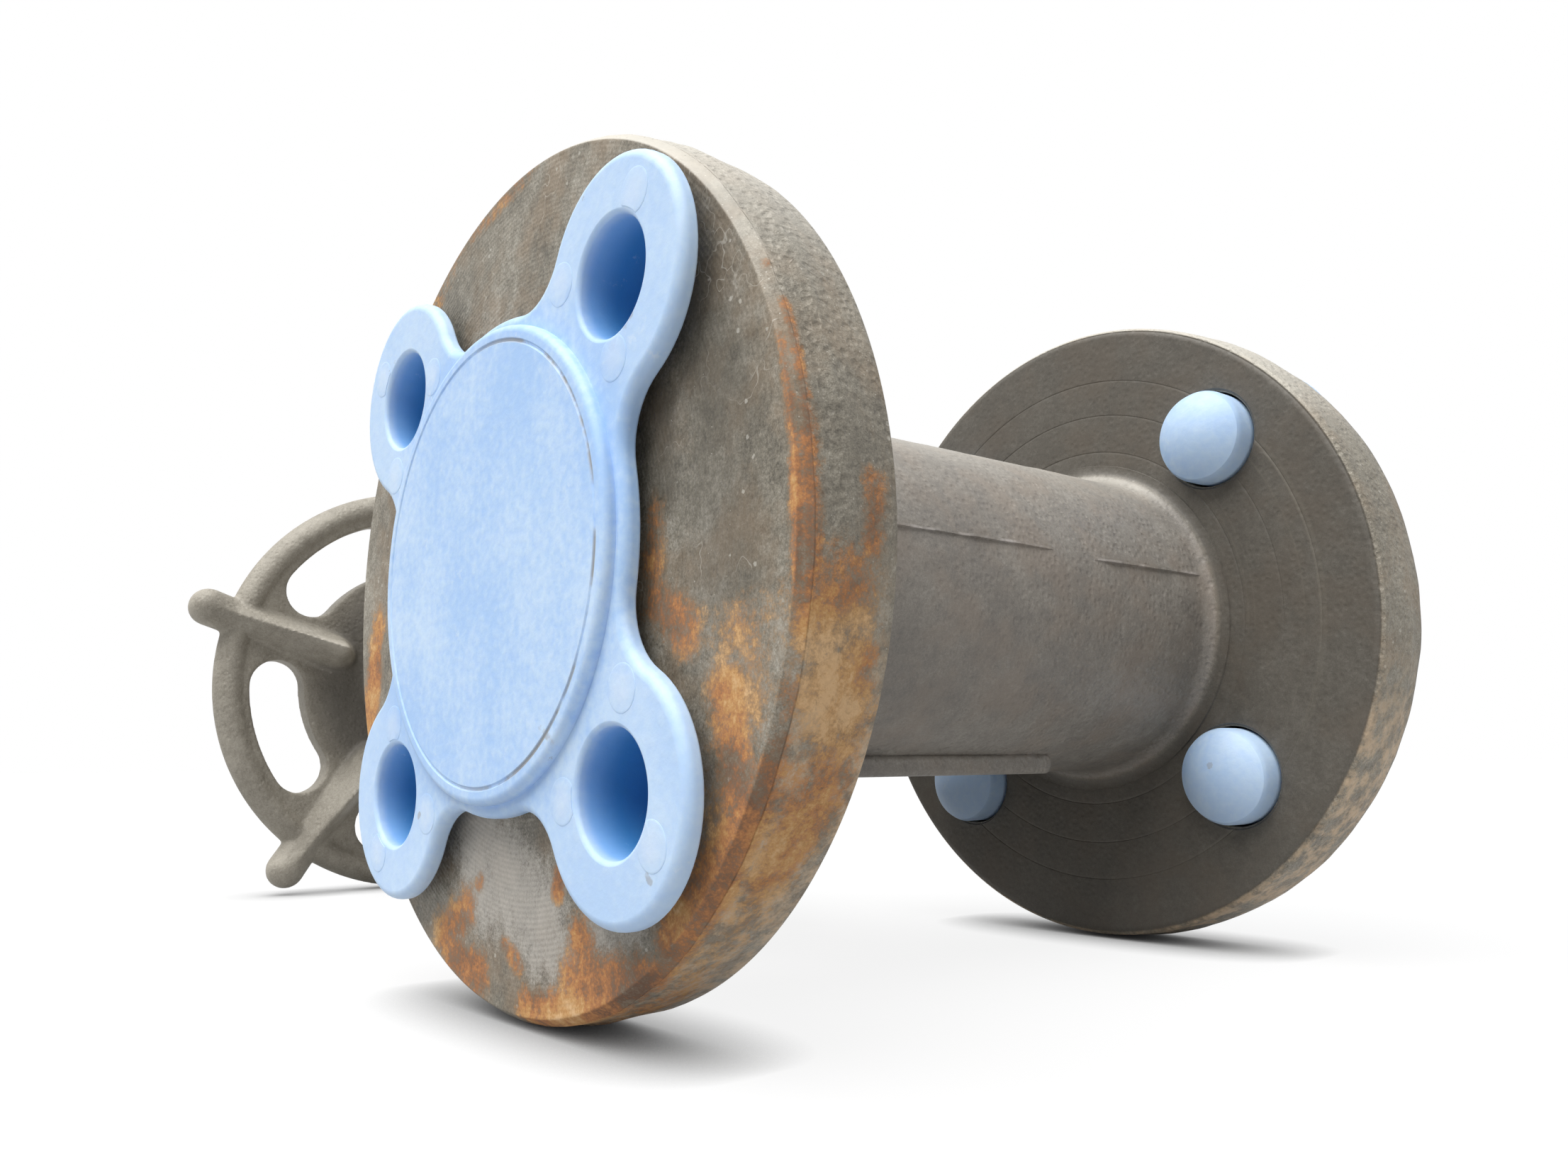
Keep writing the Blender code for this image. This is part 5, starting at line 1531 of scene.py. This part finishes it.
@dataclass
class Handwheel:
    """Cast wheel: rim, five ridged ribs that end as lugs, a web with kidney windows and a hub."""

    height: float = 0.1762
    rim_radius: float = 0.04685
    rim_thickness: float = 0.0078
    rim_power: float = 1.65
    spokes: int = 5
    phase: float = math.radians(90.0)
    rib_inner: float = 0.0135
    rib_start: float = 0.0187
    rib_peak: float = 0.0246
    rib_low: float = 0.0500
    rib_reach: float = 0.0598
    rib_drop: float = 0.0010
    rib_rise: float = 0.0134
    lug_radius: float = 0.0044
    web_thickness: float = 0.0056
    web_radius: float = 0.0302
    window_margin: float = 0.0061
    hub_radius: float = 0.0150
    hub_ends: Pair = (0.1632, 0.1828)
    drive_flat: float = 0.00955
    nut_flat: float = 0.0135
    nut_ends: Pair = (0.1831, 0.1901)
    nut_bore: float = 0.00915
    skin_grid: float = 0.00050

    def window(self, start: float, sweep: float) -> Outline:
        """Kidney window in (x, z) between the web and the rim."""
        outer = self.rim_radius - self.rim_thickness / 2
        middle = (self.web_radius + outer) / 2
        cap = (outer - self.web_radius) / 2
        side = math.asin((self.window_margin + cap) / middle)
        low = start + side
        turn = sweep - 2 * side
        outline = arc((0.0, 0.0), outer, low, turn, 20)
        outline += arc(polar(middle, low + turn), cap, low + turn, math.pi, 16)[1:-1]
        outline += arc((0.0, 0.0), self.web_radius, low + turn, -turn, 16)
        outline += arc(polar(middle, low), cap, low + math.pi, math.pi, 16)[1:-1]
        return outline

    def web(self) -> Thing:
        """Disc with its windows and the hub, with the wheel's middle at the origin."""
        half = self.web_thickness / 2
        disc = rod("web", self.rim_radius, Axis.STEM, -half, half, 160)
        pitch = TURN / self.spokes
        windows = []
        for index in range(self.spokes):
            outline = self.window(self.phase + pitch * index, pitch)
            windows.append(lofted("window", [(outline, -2 * half), (outline, 2 * half)], Axis.STEM))
        carved(disc, *windows)
        low, high = (end - self.height for end in self.hub_ends)
        return merged(disc, rod("hub", self.hub_radius, Axis.STEM, low, high, 96))

    def rib(self) -> Thing:
        """One rib along X: a ridge that falls from the hub to a round lug outside the rim."""
        tip = self.rib_reach - self.lug_radius
        rise = [
            (self.rib_start, 0.0020),
            (self.rib_peak, self.rib_rise),
            (self.rib_low, 0.0047),
            (tip, self.lug_radius),
        ]
        loops = []
        stations = [self.rib_inner + (tip - self.rib_inner) * k / 40 for k in range(41)]
        stations += [tip + self.lug_radius * math.sin(math.pi / 2 * k / 8) for k in range(1, 8)]
        for at in stations:
            past = max(0.0, (at - tip) / self.lug_radius)
            share = math.sqrt(1.0 - past**2)
            front = graded(at, rise) * share
            back = graded(at, [(0.030, 0.0034), (self.rib_low, self.lug_radius)]) * share
            half = graded(at, [(self.rib_peak, 0.0053), (self.rib_low, self.lug_radius)]) * share
            ridge = graded(at, [(self.rib_peak, 1.0), (self.rib_low, 0.85), (tip, 0.0)])
            outline = []
            for k in range(32):
                lean, side = polar(1.0, TURN * k / 32)
                roof = ridge * (1.0 - abs(side) ** 1.15) + (1.0 - ridge) * lean
                depth = -front * roof if lean > 0 else -back * lean
                outline.append((depth - self.rib_drop, half * side))
            loops.append((outline, at))
        return lofted("rib", loops, Axis.PIPE)

    def casting(self, material: Material) -> Thing:
        """Rim and ribs by rule, with the web joined in."""
        web = self.web()
        rib = self.rib()
        recipe = Recipe(
            "ribbed_wheel",
            Web=web,
            Rib=rib,
            Rim_Radius=self.rim_radius,
            Rim_Section=self.rim_thickness / 2,
            Rim_Power=self.rim_power,
            Spokes=self.spokes,
            Phase=self.phase,
        )
        size = recipe.size
        loop, section = (
            recipe.value(
                "GeometryNodeCurvePrimitiveCircle", {"Resolution": steps, "Radius": size(label)}
            )
            for label, steps in (("Rim_Radius", 200), ("Rim_Section", 32))
        )
        spot = recipe.value("GeometryNodeInputPosition")
        share = [abs(side / size("Rim_Section")) for side in recipe.split(spot)[:2]]
        across, along = [part ** size("Rim_Power") for part in share]
        pull = (across + along) ** (-1.0 / size("Rim_Power"))
        feeds = {0: spot, "Scale": pull}
        peaked = recipe.value("ShaderNodeVectorMath", feeds, operation="SCALE")
        feeds = {"Geometry": section, "Position": peaked}
        section = recipe.value("GeometryNodeSetPosition", feeds)
        rim = recipe.value("GeometryNodeCurveToMesh", {0: loop, 1: section})
        rim = recipe.shaped(rim, rotation=(-math.pi / 2, 0.0, 0.0))
        points = recipe.value("GeometryNodePoints", {"Count": size("Spokes")})
        index = recipe.value("GeometryNodeInputIndex")
        step = TURN / size("Spokes")
        angle = index.scaled(step, size("Phase")) * -1.0
        turn = recipe.value("ShaderNodeCombineXYZ", {1: angle})
        feeds = {"Points": points, "Instance": recipe.shape("Rib"), "Rotation": turn}
        ribs = recipe.value("GeometryNodeInstanceOnPoints", feeds)
        cast_web = recipe.shape("Web")
        join = recipe.node("GeometryNodeJoinGeometry")
        for part in (rim, ribs, cast_web):
            recipe.link(part, join.inputs[0])
        wheel = recipe.run("handwheel_casting", join.outputs[0], material)
        bpy.data.objects.remove(web)
        bpy.data.objects.remove(rib)
        softened(wheel, self.skin_grid, 3)
        return moved(wheel, (0.0, self.height, 0.0))

    def build(self, material: Material, nut_material: Material) -> None:
        """Makes the wheel and its nut and dresses them."""
        wheel = self.casting(material)
        low, high = self.hub_ends
        drive = polygon(6, self.drive_flat)
        past = 0.002
        carved(wheel, lofted("drive", [(drive, low - past), (drive, high + past)], Axis.STEM))
        dressed(shaded(wheel, 50.0), "wheel", "cast_wheel", material, "handwheel")
        nut = hexagon("wheel_holding_nut", self.nut_flat, self.nut_ends, self.nut_bore)
        dressed(shaded(nut), "wheel", "cast_wheel", nut_material, "wheel_nut")


def hexagon(name: str, flat: float, ends: Pair, bore: float) -> Thing:
    """Hexagon along the stem axis with chamfered corners and a countersunk bore.

    Args:
        name: Name of the object.
        flat: Half of the width over the flats.
        ends: Low and high face.
        bore: Radius of the bore, or 0 for none.

    Returns:
        The closed body.
    """
    low, high = ends
    corner = flat / math.cos(math.pi / 6)
    blank = lofted(name, [(polygon(6, flat), low), (polygon(6, flat), high)], Axis.STEM)
    slope = math.tan(math.radians(28))
    outside = corner + 0.002
    for face, inward in ((high, -1), (low, 1)):
        past = face - inward * 0.002
        edge = flat * 0.96
        fall = face + inward * (outside - edge) * slope
        profile = [(edge, face), (outside, fall), (outside, past), (edge, past)]
        carved(blank, turned("corners", profile, Axis.STEM, 72))
    if bore:
        edge = 0.0005
        profile = [
            (0.0, high + edge),
            (bore + 2 * edge, high + edge),
            (bore, high - edge),
            (bore, low + edge),
            (bore + 2 * edge, low - edge),
            (0.0, low - edge),
        ]
        carved(blank, turned("bore", profile, Axis.STEM, 48))
    return blank


@dataclass
class BonnetYoke:
    """Bonnet flange, stuffing box, stud bosses, yoke arms and yoke hub in one forging."""

    flange_ends: Pair = (0.0561, 0.0661)
    half_length: float = 0.0270
    half_depth: float = 0.0300
    corner: float = 0.0080
    neck_radius: float = 0.01645
    neck_top: float = 0.0920
    stuffing_radius: float = 0.01145
    stuffing_floor: float = 0.0617
    stem_bore: float = 0.00665
    stud_spread: float = 0.02065
    boss_radius: float = 0.0065
    boss_top: float = 0.0860
    stud_hole: float = 0.0033
    stud_hole_low: float = 0.0737
    backseat_radius: float = 0.00885
    backseat_depth: float = 0.0021
    screw_x: float = 0.0200
    screw_z: float = 0.0230
    screw_hole: float = 0.0043
    arm_inner: float = 0.01795
    arm_outer: float = 0.02545
    arm_half_depth: float = 0.0070
    hub_radius: float = 0.01908
    hub_ends: Pair = (0.1433, 0.1593)
    sleeve_bore: float = 0.01158
    pocket_radius: float = 0.01508
    pocket_low: float = 0.1537
    skin_grid: float = 0.0006

    def frame_outline(self) -> Outline:
        """Both arms as one bent bar in (x, y)."""
        bend = self.arm_outer - self.arm_inner
        low = sum(self.flange_ends) / 2
        high = self.flange_ends[1]
        hub_low, hub_high = self.hub_ends
        foot = (self.stuffing_radius + self.neck_radius) / 2
        right = [
            (foot, low),
            (self.half_length - 0.0006, low),
            (self.half_length - 0.0006, high),
            (self.arm_outer, self.boss_top),
            (self.arm_outer, hub_low - bend),
            (self.hub_radius - bend / 2, hub_high - (hub_high - hub_low) / 3),
        ]
        upper = (self.arm_inner - bend, hub_low - bend / 2)
        lower = (self.arm_inner - bend / 2, self.boss_top + bend / 2)
        inside = [
            *arc(upper, bend, math.pi / 2, -math.pi / 2, 10),
            *arc(lower, bend / 2, 0.0, -math.pi / 2, 8),
            (foot, self.boss_top),
        ]
        return right + [(-x, y) for x, y in reversed(inside + right)] + inside

    def cutters(self) -> list[Thing]:
        """Bores for the stem nut, the packing, the stem, the screws and the studs."""
        past = 0.003
        hub_low, hub_high = self.hub_ends
        low, high = self.flange_ends
        edge = 0.0006
        nut = [
            (0.0, hub_high + past),
            (self.pocket_radius + past, hub_high + past),
            (self.pocket_radius, hub_high - edge),
            (self.pocket_radius, self.pocket_low),
            (self.sleeve_bore, self.pocket_low),
            (self.sleeve_bore, hub_low + edge),
            (self.sleeve_bore + past, hub_low - past),
            (0.0, hub_low - past),
        ]
        box = [
            (0.0, self.neck_top + past),
            (self.stuffing_radius + past, self.neck_top + past),
            (self.stuffing_radius, self.neck_top - edge),
            (self.stuffing_radius, self.stuffing_floor),
            (self.stem_bore, self.stuffing_floor),
            (self.stem_bore, low + self.backseat_depth),
            (self.backseat_radius, low),
            (self.backseat_radius, low - past),
            (0.0, low - past),
        ]
        tools = [turned("nut_bore", nut, Axis.STEM), turned("stuffing_bore", box, Axis.STEM)]
        spots = corners(self.screw_x, self.screw_z)
        tools += drills("screw_hole", self.screw_hole, (low - past, high + past), spots)
        spots = [(0.0, side * self.stud_spread) for side in (-1, 1)]
        ends = (self.stud_hole_low, self.boss_top + past)
        return tools + drills("stud_hole", self.stud_hole, ends, spots)

    def build(self, material: Material) -> None:
        """Makes the forging and dresses it."""
        low = self.flange_ends[0]
        halves = (self.half_length, self.half_depth)
        rounds = (0.0004, 0.0008)
        bonnet = block("bonnet_yoke_forging", halves, self.corner, self.flange_ends, rounds)
        half = self.arm_half_depth
        outline = self.frame_outline()
        parts = [
            rod("neck", self.neck_radius, Axis.STEM, low + 0.001, self.neck_top, 96),
            rod("hub", self.hub_radius, Axis.STEM, *self.hub_ends, 96),
            lofted("arms", [(outline, -half), (outline, half)], Axis.UP),
        ]
        for side in (-1, 1):
            boss = rod("boss", self.boss_radius, Axis.STEM, low + 0.001, self.boss_top, 48)
            parts.append(moved(boss, (0.0, 0.0, side * self.stud_spread)))
        merged(bonnet, *parts)
        softened(bonnet, self.skin_grid, 8)
        trim = rounded_box(0.06, 0.06, 0.001)
        joint_cut = lofted("joint_cut", [(trim, low - 0.004), (trim, low)], Axis.STEM)
        carved(bonnet, joint_cut, *self.cutters())
        dressed(shaded(bonnet, 50.0), "valve", "forged_steel", material, "bonnet_yoke")


@dataclass
class Gland:
    """Follower, lozenge flange, studs and nuts that press the packing."""

    bore: float = 0.00665
    follower_radius: float = 0.01115
    collar_radius: float = 0.01285
    follower_low: float = 0.0860
    collar_low: float = 0.0950
    follower_top: float = 0.0990
    plate_ends: Pair = (0.0993, 0.1063)
    waist_radius: float = 0.01565
    end_radius: float = 0.0075
    stud_spread: float = 0.02065
    stud_radius: float = 0.0030
    stud_hole: float = 0.0033
    stud_ends: Pair = (0.0740, 0.1156)
    stud_pitch: float = 0.0010
    nut_flat: float = 0.0050
    nut_ends: Pair = (0.1066, 0.1116)

    def lozenge(self, inset: float) -> Outline:
        """Outline of the flange in (x, z), moved inwards."""
        lean = math.acos((self.waist_radius - self.end_radius) / self.stud_spread)
        outline: Outline = []
        for up, radius, middle, spread in (
            (self.stud_spread, self.end_radius, math.pi / 2, lean),
            (0.0, self.waist_radius, math.pi, math.pi / 2 - lean),
            (-self.stud_spread, self.end_radius, 3 * math.pi / 2, lean),
            (0.0, self.waist_radius, TURN, math.pi / 2 - lean),
        ):
            outline += arc((0.0, up), radius - inset, middle - spread, 2 * spread, 14)
        return outline

    def build(self, forged: Material, plated: Material) -> None:
        """Makes the pieces and dresses them."""
        plate = eased("gland_plate", self.lozenge, Axis.STEM, self.plate_ends, (0.0006, 0.0012))
        low, high = self.plate_ends
        past = 0.002
        ends = (low - past, high + past)
        spots = [(0.0, side * self.stud_spread) for side in (-1, 1)]
        tools = [rod("stem_hole", self.bore, Axis.STEM, *ends, 64)]
        tools += drills("stud_hole", self.stud_hole, ends, spots)
        dressed(shaded(carved(plate, *tools)), "valve", "forged_steel", forged, "gland_flange")
        edge = 0.0004
        profile = [
            (self.bore, self.follower_top - edge),
            (self.bore + edge, self.follower_top),
            (self.collar_radius - edge, self.follower_top),
            (self.collar_radius, self.follower_top - edge),
            (self.collar_radius, self.collar_low + edge),
            (self.collar_radius - edge, self.collar_low),
            (self.follower_radius, self.collar_low),
            (self.follower_radius, self.follower_low + edge),
            (self.follower_radius - edge, self.follower_low),
            (self.bore, self.follower_low),
        ]
        follower = turned("gland_sleeve", profile, Axis.STEM)
        dressed(shaded(follower), "valve", "plated_steel", plated, "gland_follower")
        ends, pitch = self.stud_ends, self.stud_pitch
        spread = (0.0, 2 * self.stud_spread)
        stud = threaded("stud", self.stud_radius, ends, pitch, ends, plated)
        studs = repeated("gland_studs", shaded(stud, 40.0), (1, 2), spread, plated)
        dressed(studs, "valve", "plated_steel", plated, "gland_stud_1", "gland_stud_2")
        nut = shaded(hexagon("nut", self.nut_flat, self.nut_ends, self.stud_hole))
        nuts = repeated("gland_nuts", nut, (1, 2), spread, plated)
        dressed(nuts, "valve", "plated_steel", plated, "gland_nut_1", "gland_nut_2")


@dataclass
class BonnetScrews:
    """Four hexagon-head screws that hold the bonnet on the body."""

    along: float = 0.0400
    up: float = 0.04612
    radius: float = 0.0040
    low: float = 0.0450
    seat: float = 0.0664
    head_flat: float = 0.0065
    head_height: float = 0.0055
    pitch: float = 0.00125

    def build(self, material: Material) -> None:
        """Makes one screw, repeats it and dresses all four."""
        high = self.seat + self.head_height
        ends = (self.low, self.seat + 0.001)
        run = (self.low, self.seat - 0.008)
        shank = threaded("shank", self.radius, ends, self.pitch, run, material)
        screw = merged(hexagon("screw", self.head_flat, (self.seat, high), 0.0), shank)
        spread = (self.along, self.up)
        screws = repeated("bonnet_screws", shaded(screw, 40.0), (2, 2), spread, material)
        names = [f"bonnet_screw_{index}" for index in range(1, 5)]
        dressed(screws, "valve", "plated_steel", material, *names)


@dataclass
class StemGroup:
    """Rising stem, the stem nut in the yoke and the ring that keeps it there."""

    radius: float = 0.00635
    top: float = 0.1981
    collar_top: float = 0.0288
    collar_low: float = 0.0258
    collar_radius: float = 0.00855
    neck_radius: float = 0.0050
    tee_ends: Pair = (0.0183, 0.0227)
    tee_half_length: float = 0.0060
    tee_half_width: float = 0.0090
    thread_run: Pair = (0.1190, 0.1975)
    lead: float = 0.0040
    bore: float = 0.00665
    sleeve_radius: float = 0.01128
    sleeve_low: float = 0.1433
    sleeve_collar: float = 0.01478
    collar_ends: Pair = (0.1540, 0.1590)
    thread_radius: float = 0.00885
    drive_flat: float = 0.00925
    drive_ends: Pair = (0.1626, 0.1825)
    sleeve_top: float = 0.1904
    keeper_radius: float = 0.01878
    keeper_bore: float = 0.01158
    keeper_ends: Pair = (0.1596, 0.1626)

    def stem(self, material: Material) -> Thing:
        """Screwed bar with its backseat collar and T head."""
        ends = (self.collar_low, self.top)
        bar = threaded("stem_bar", self.radius, ends, self.lead, self.thread_run, material)
        profile = [
            (0.0, self.collar_top),
            (self.radius, self.collar_top),
            (self.collar_radius, self.collar_top - 0.0022),
            (self.collar_radius, self.collar_low),
            (self.neck_radius, self.collar_low),
            (self.neck_radius, sum(self.tee_ends) / 2),
            (0.0, sum(self.tee_ends) / 2),
        ]
        halves = (self.tee_half_length, self.tee_half_width)
        head = block("head", halves, 0.0020, self.tee_ends, (0.0004, 0.0004))
        return merged(bar, turned("collar", profile, Axis.STEM), head)

    def sleeve(self) -> Thing:
        """Stem nut with its collar, drive hexagon and screwed end."""
        edge = 0.0004
        low, high = self.collar_ends
        shoulder = self.drive_ends[0]
        profile = [
            (self.bore, self.sleeve_top - edge),
            (self.bore + edge, self.sleeve_top),
            (self.thread_radius - 2 * edge, self.sleeve_top),
            (self.thread_radius, self.sleeve_top - 2 * edge),
            (self.thread_radius, shoulder),
            (self.sleeve_radius, shoulder),
            (self.sleeve_radius, high),
            (self.sleeve_collar, high),
            (self.sleeve_collar, low),
            (self.sleeve_radius, low),
            (self.sleeve_radius, self.sleeve_low + edge),
            (self.sleeve_radius - edge, self.sleeve_low),
            (self.bore, self.sleeve_low),
        ]
        sleeve = turned("stem_nut", profile, Axis.STEM)
        flats = polygon(6, self.drive_flat)
        drive = lofted("drive", [(flats, shoulder - edge), (flats, self.drive_ends[1])], Axis.STEM)
        past = 0.002
        middle = (self.bore + self.thread_radius) / 2
        core = rod("core", middle, Axis.STEM, shoulder - past, self.drive_ends[1] + past)
        return merged(sleeve, carved(drive, core))

    def build(self, steel: Material, bronze: Material, forged: Material) -> None:
        """Makes the pieces and dresses them."""
        dressed(shaded(self.stem(steel), 40.0), "stem", "stem_steel", steel, "stem")
        dressed(shaded(self.sleeve()), "wheel", "stem_nut_bronze", bronze, "yoke_sleeve")
        radii = (self.keeper_bore, self.keeper_radius)
        keeper = ring("nut_keeper", radii, Axis.STEM, self.keeper_ends, 0.0005)
        dressed(shaded(keeper), "valve", "forged_steel", forged, "sleeve_retainer")


def finish_inner_pieces(finishes: dict[str, Material]) -> None:
    """Gives the pieces that stay as packed, all inside the valve, their finishes.

    Args:
        finishes: Finish for each node.
    """
    for node, material in finishes.items():
        made = frame["nodes"][node]
        made.data.materials.clear()
        made.data.materials.append(material)
        LOG.info("%s: finish only", node)


@dataclass(frozen=True)
class Studio:
    """Camera where the photograph was taken from, soft top light and a white floor."""

    focal_pixels: float = 1771.352
    eye: tuple[float, float, float] = (-133.679, -138.262, -25.663)
    yaw: float = math.radians(50.639)
    pitch: float = math.radians(8.607)
    roll: float = math.radians(-1.189)
    sensor: float = 36.0
    sun_strength: float = 4.45
    sun_lean: float = math.radians(25)
    sun_front: float = math.radians(2)
    sun_angle: float = math.radians(58)
    sky_strength: float = 0.25
    floor_size: float = 6.0
    floor_bounce: Colour = (0.45, 0.45, 0.45)
    floor_shown: Colour = (0.86, 0.86, 0.86)
    floor_glow: float = 0.88
    shadow_reach: float = 0.012
    shadow_power: float = 1.2

    def camera(self) -> None:
        """Sets the camera up in the valve frame and lays it down with the valve."""
        ahead = Vector(
            (
                math.cos(self.pitch) * math.cos(self.yaw),
                math.cos(self.pitch) * math.sin(self.yaw),
                math.sin(self.pitch),
            )
        )
        level = Vector((math.sin(self.yaw), -math.cos(self.yaw), 0.0))
        above = level.cross(ahead)
        right = level * math.cos(self.roll) + above * math.sin(self.roll)
        up = above * math.cos(self.roll) - level * math.sin(self.roll)
        stand = Matrix((right, up, -ahead)).transposed().to_4x4()
        stand.translation = Vector(self.eye) * MM
        data = bpy.data.cameras.new("photo_camera")
        data.sensor_width = self.sensor
        data.lens = self.focal_pixels / PHOTO_SIZE[0] * self.sensor
        data.clip_start = 0.01
        data.clip_end = 50.0
        made = bpy.data.objects.new("photo_camera", data)
        bpy.context.scene.collection.objects.link(made)
        made.matrix_world = LIE @ stand
        bpy.context.scene.camera = made

    def lights(self) -> None:
        """Broad soft light from above and an even white surround."""
        data = bpy.data.lights.new("soft_top", "SUN")
        data.energy = self.sun_strength
        data.angle = self.sun_angle
        made = bpy.data.objects.new("soft_top", data)
        way = Vector((math.sin(self.sun_lean), math.sin(self.sun_front), -1.0))
        made.rotation_euler = way.to_track_quat("-Z", "Y").to_euler()
        bpy.context.scene.collection.objects.link(made)
        world = bpy.data.worlds.new("white_surround")
        bpy.context.scene.world = world
        world.use_nodes = True
        graph = Graph(world.node_tree)
        strength = graph.span(self.shown(graph), 0.0, 1.0, self.sky_strength, 1.0)
        ground = world.node_tree.nodes["Background"]
        ground.inputs["Color"].default_value = (1.0, 1.0, 1.0, 1.0)
        graph.feed(ground, Strength=strength)

    @staticmethod
    def shown(graph: Graph) -> Value:
        """1 for rays that show the surroundings straight, in metal or through plastic."""
        rays = graph.node("ShaderNodeLightPath").outputs
        seen = graph.math("ADD", rays["Is Camera Ray"], rays["Is Glossy Ray"], clamp=True)
        return graph.math("ADD", seen, rays["Is Transmission Ray"], clamp=True)

    def floor(self) -> None:
        """White floor that fades into the surround and keeps the valve's shadow, with a painted
        contact shadow in its glow.
        """
        mesh = bmesh.new()
        bmesh.ops.create_grid(mesh, x_segments=1, y_segments=1, size=self.floor_size)
        made = piece("floor", mesh)
        material = bpy.data.materials.new("white_floor")
        material.use_nodes = True
        graph = Graph(material.node_tree)
        shader = material.node_tree.nodes["Principled BSDF"]
        shown = self.shown(graph)
        colour = graph.mix(shown, self.floor_bounce, self.floor_shown)
        graph.feed(shader, Base_Color=colour)
        shader.inputs["Roughness"].default_value = 0.9
        shader.inputs["Specular IOR Level"].default_value = 0.1
        # Painted shadow: for camera rays the floor glows white, darkened by ambient occlusion near
        # the valve.
        reach = {"Distance": self.shadow_reach}
        open_sky = graph.value("ShaderNodeAmbientOcclusion", reach, "AO", samples=8)
        white = graph.value("ShaderNodeEmission", {"Strength": open_sky**self.shadow_power})
        feeds = {0: shown * self.floor_glow, 1: shader.outputs[0], 2: white}
        both = graph.value("ShaderNodeMixShader", feeds)
        graph.feed(material.node_tree.nodes["Material Output"], Surface=both)
        made.data.materials.append(material)

    def build(self) -> None:
        """Makes the camera, the lights and the floor."""
        bpy.context.scene.view_settings.view_transform = "Standard"
        self.camera()
        self.lights()
        self.floor()


METALS = (
    ("plated_skin", (0.56, 0.55, 0.52), (0.40, 0.38, 0.34), 0.34),
    ("bronze_skin", (0.58, 0.40, 0.19), (0.36, 0.24, 0.12), 0.36),
    ("stem_skin", (0.60, 0.59, 0.57), (0.48, 0.47, 0.45), 0.26),
    ("seat_skin", (0.64, 0.62, 0.58), (0.52, 0.50, 0.46), 0.22),
)


def main() -> None:
    """Builds the studio and the pieces in order."""
    Studio().build()
    effects = Effects(patch_effect(), rust_effect(), grain_effect(), speck_effect())
    body = BodyForging()
    near_cover = FlangeCover()
    forged = ForgedFinish(
        rust_runs=RUST_RUNS,
        pale_runs=PALE_RUNS,
        bare_runs=BARE_RUNS,
        worn_runs=body.worn_runs(),
        cover_shade_runs=COVER_SHADE_RUNS,
    ).material("forged_skin", effects)
    cast = CastFinish().material("cast_skin", effects)
    moulded = CoverFinish(grime_runs=GRIME_RUNS, mark_spots=near_cover.mark_runs())
    blue = moulded.material("blue_plastic", effects)
    plated, bronze, steel, alloy = (
        MetalFinish(colour, tarnish, rough).material(name, effects)
        for name, colour, tarnish, rough in METALS
    )
    soft = SoftFinish().material("packing_skin", effects)
    body.build(forged)
    near_cover.build("inlet_cover_moulding", 0.0, "inlet_cover", "inlet_flange_cover", blue)
    far_cover = FlangeCover()
    far_cover.build("outlet_cover_moulding", math.pi, "outlet_cover", "outlet_flange_cover", blue)
    Handwheel().build(cast, cast)
    BonnetYoke().build(forged)
    Gland().build(forged, plated)
    BonnetScrews().build(plated)
    StemGroup().build(steel, bronze, forged)
    inner = {"wedge_disc": steel, "inlet_seat_ring": alloy, "outlet_seat_ring": alloy}
    packing = ["bonnet_gasket", *(f"packing_ring_{index}" for index in range(1, 6))]
    inner.update(dict.fromkeys(packing, soft))
    finish_inner_pieces(inner)


if __name__ == "__main__":
    main()
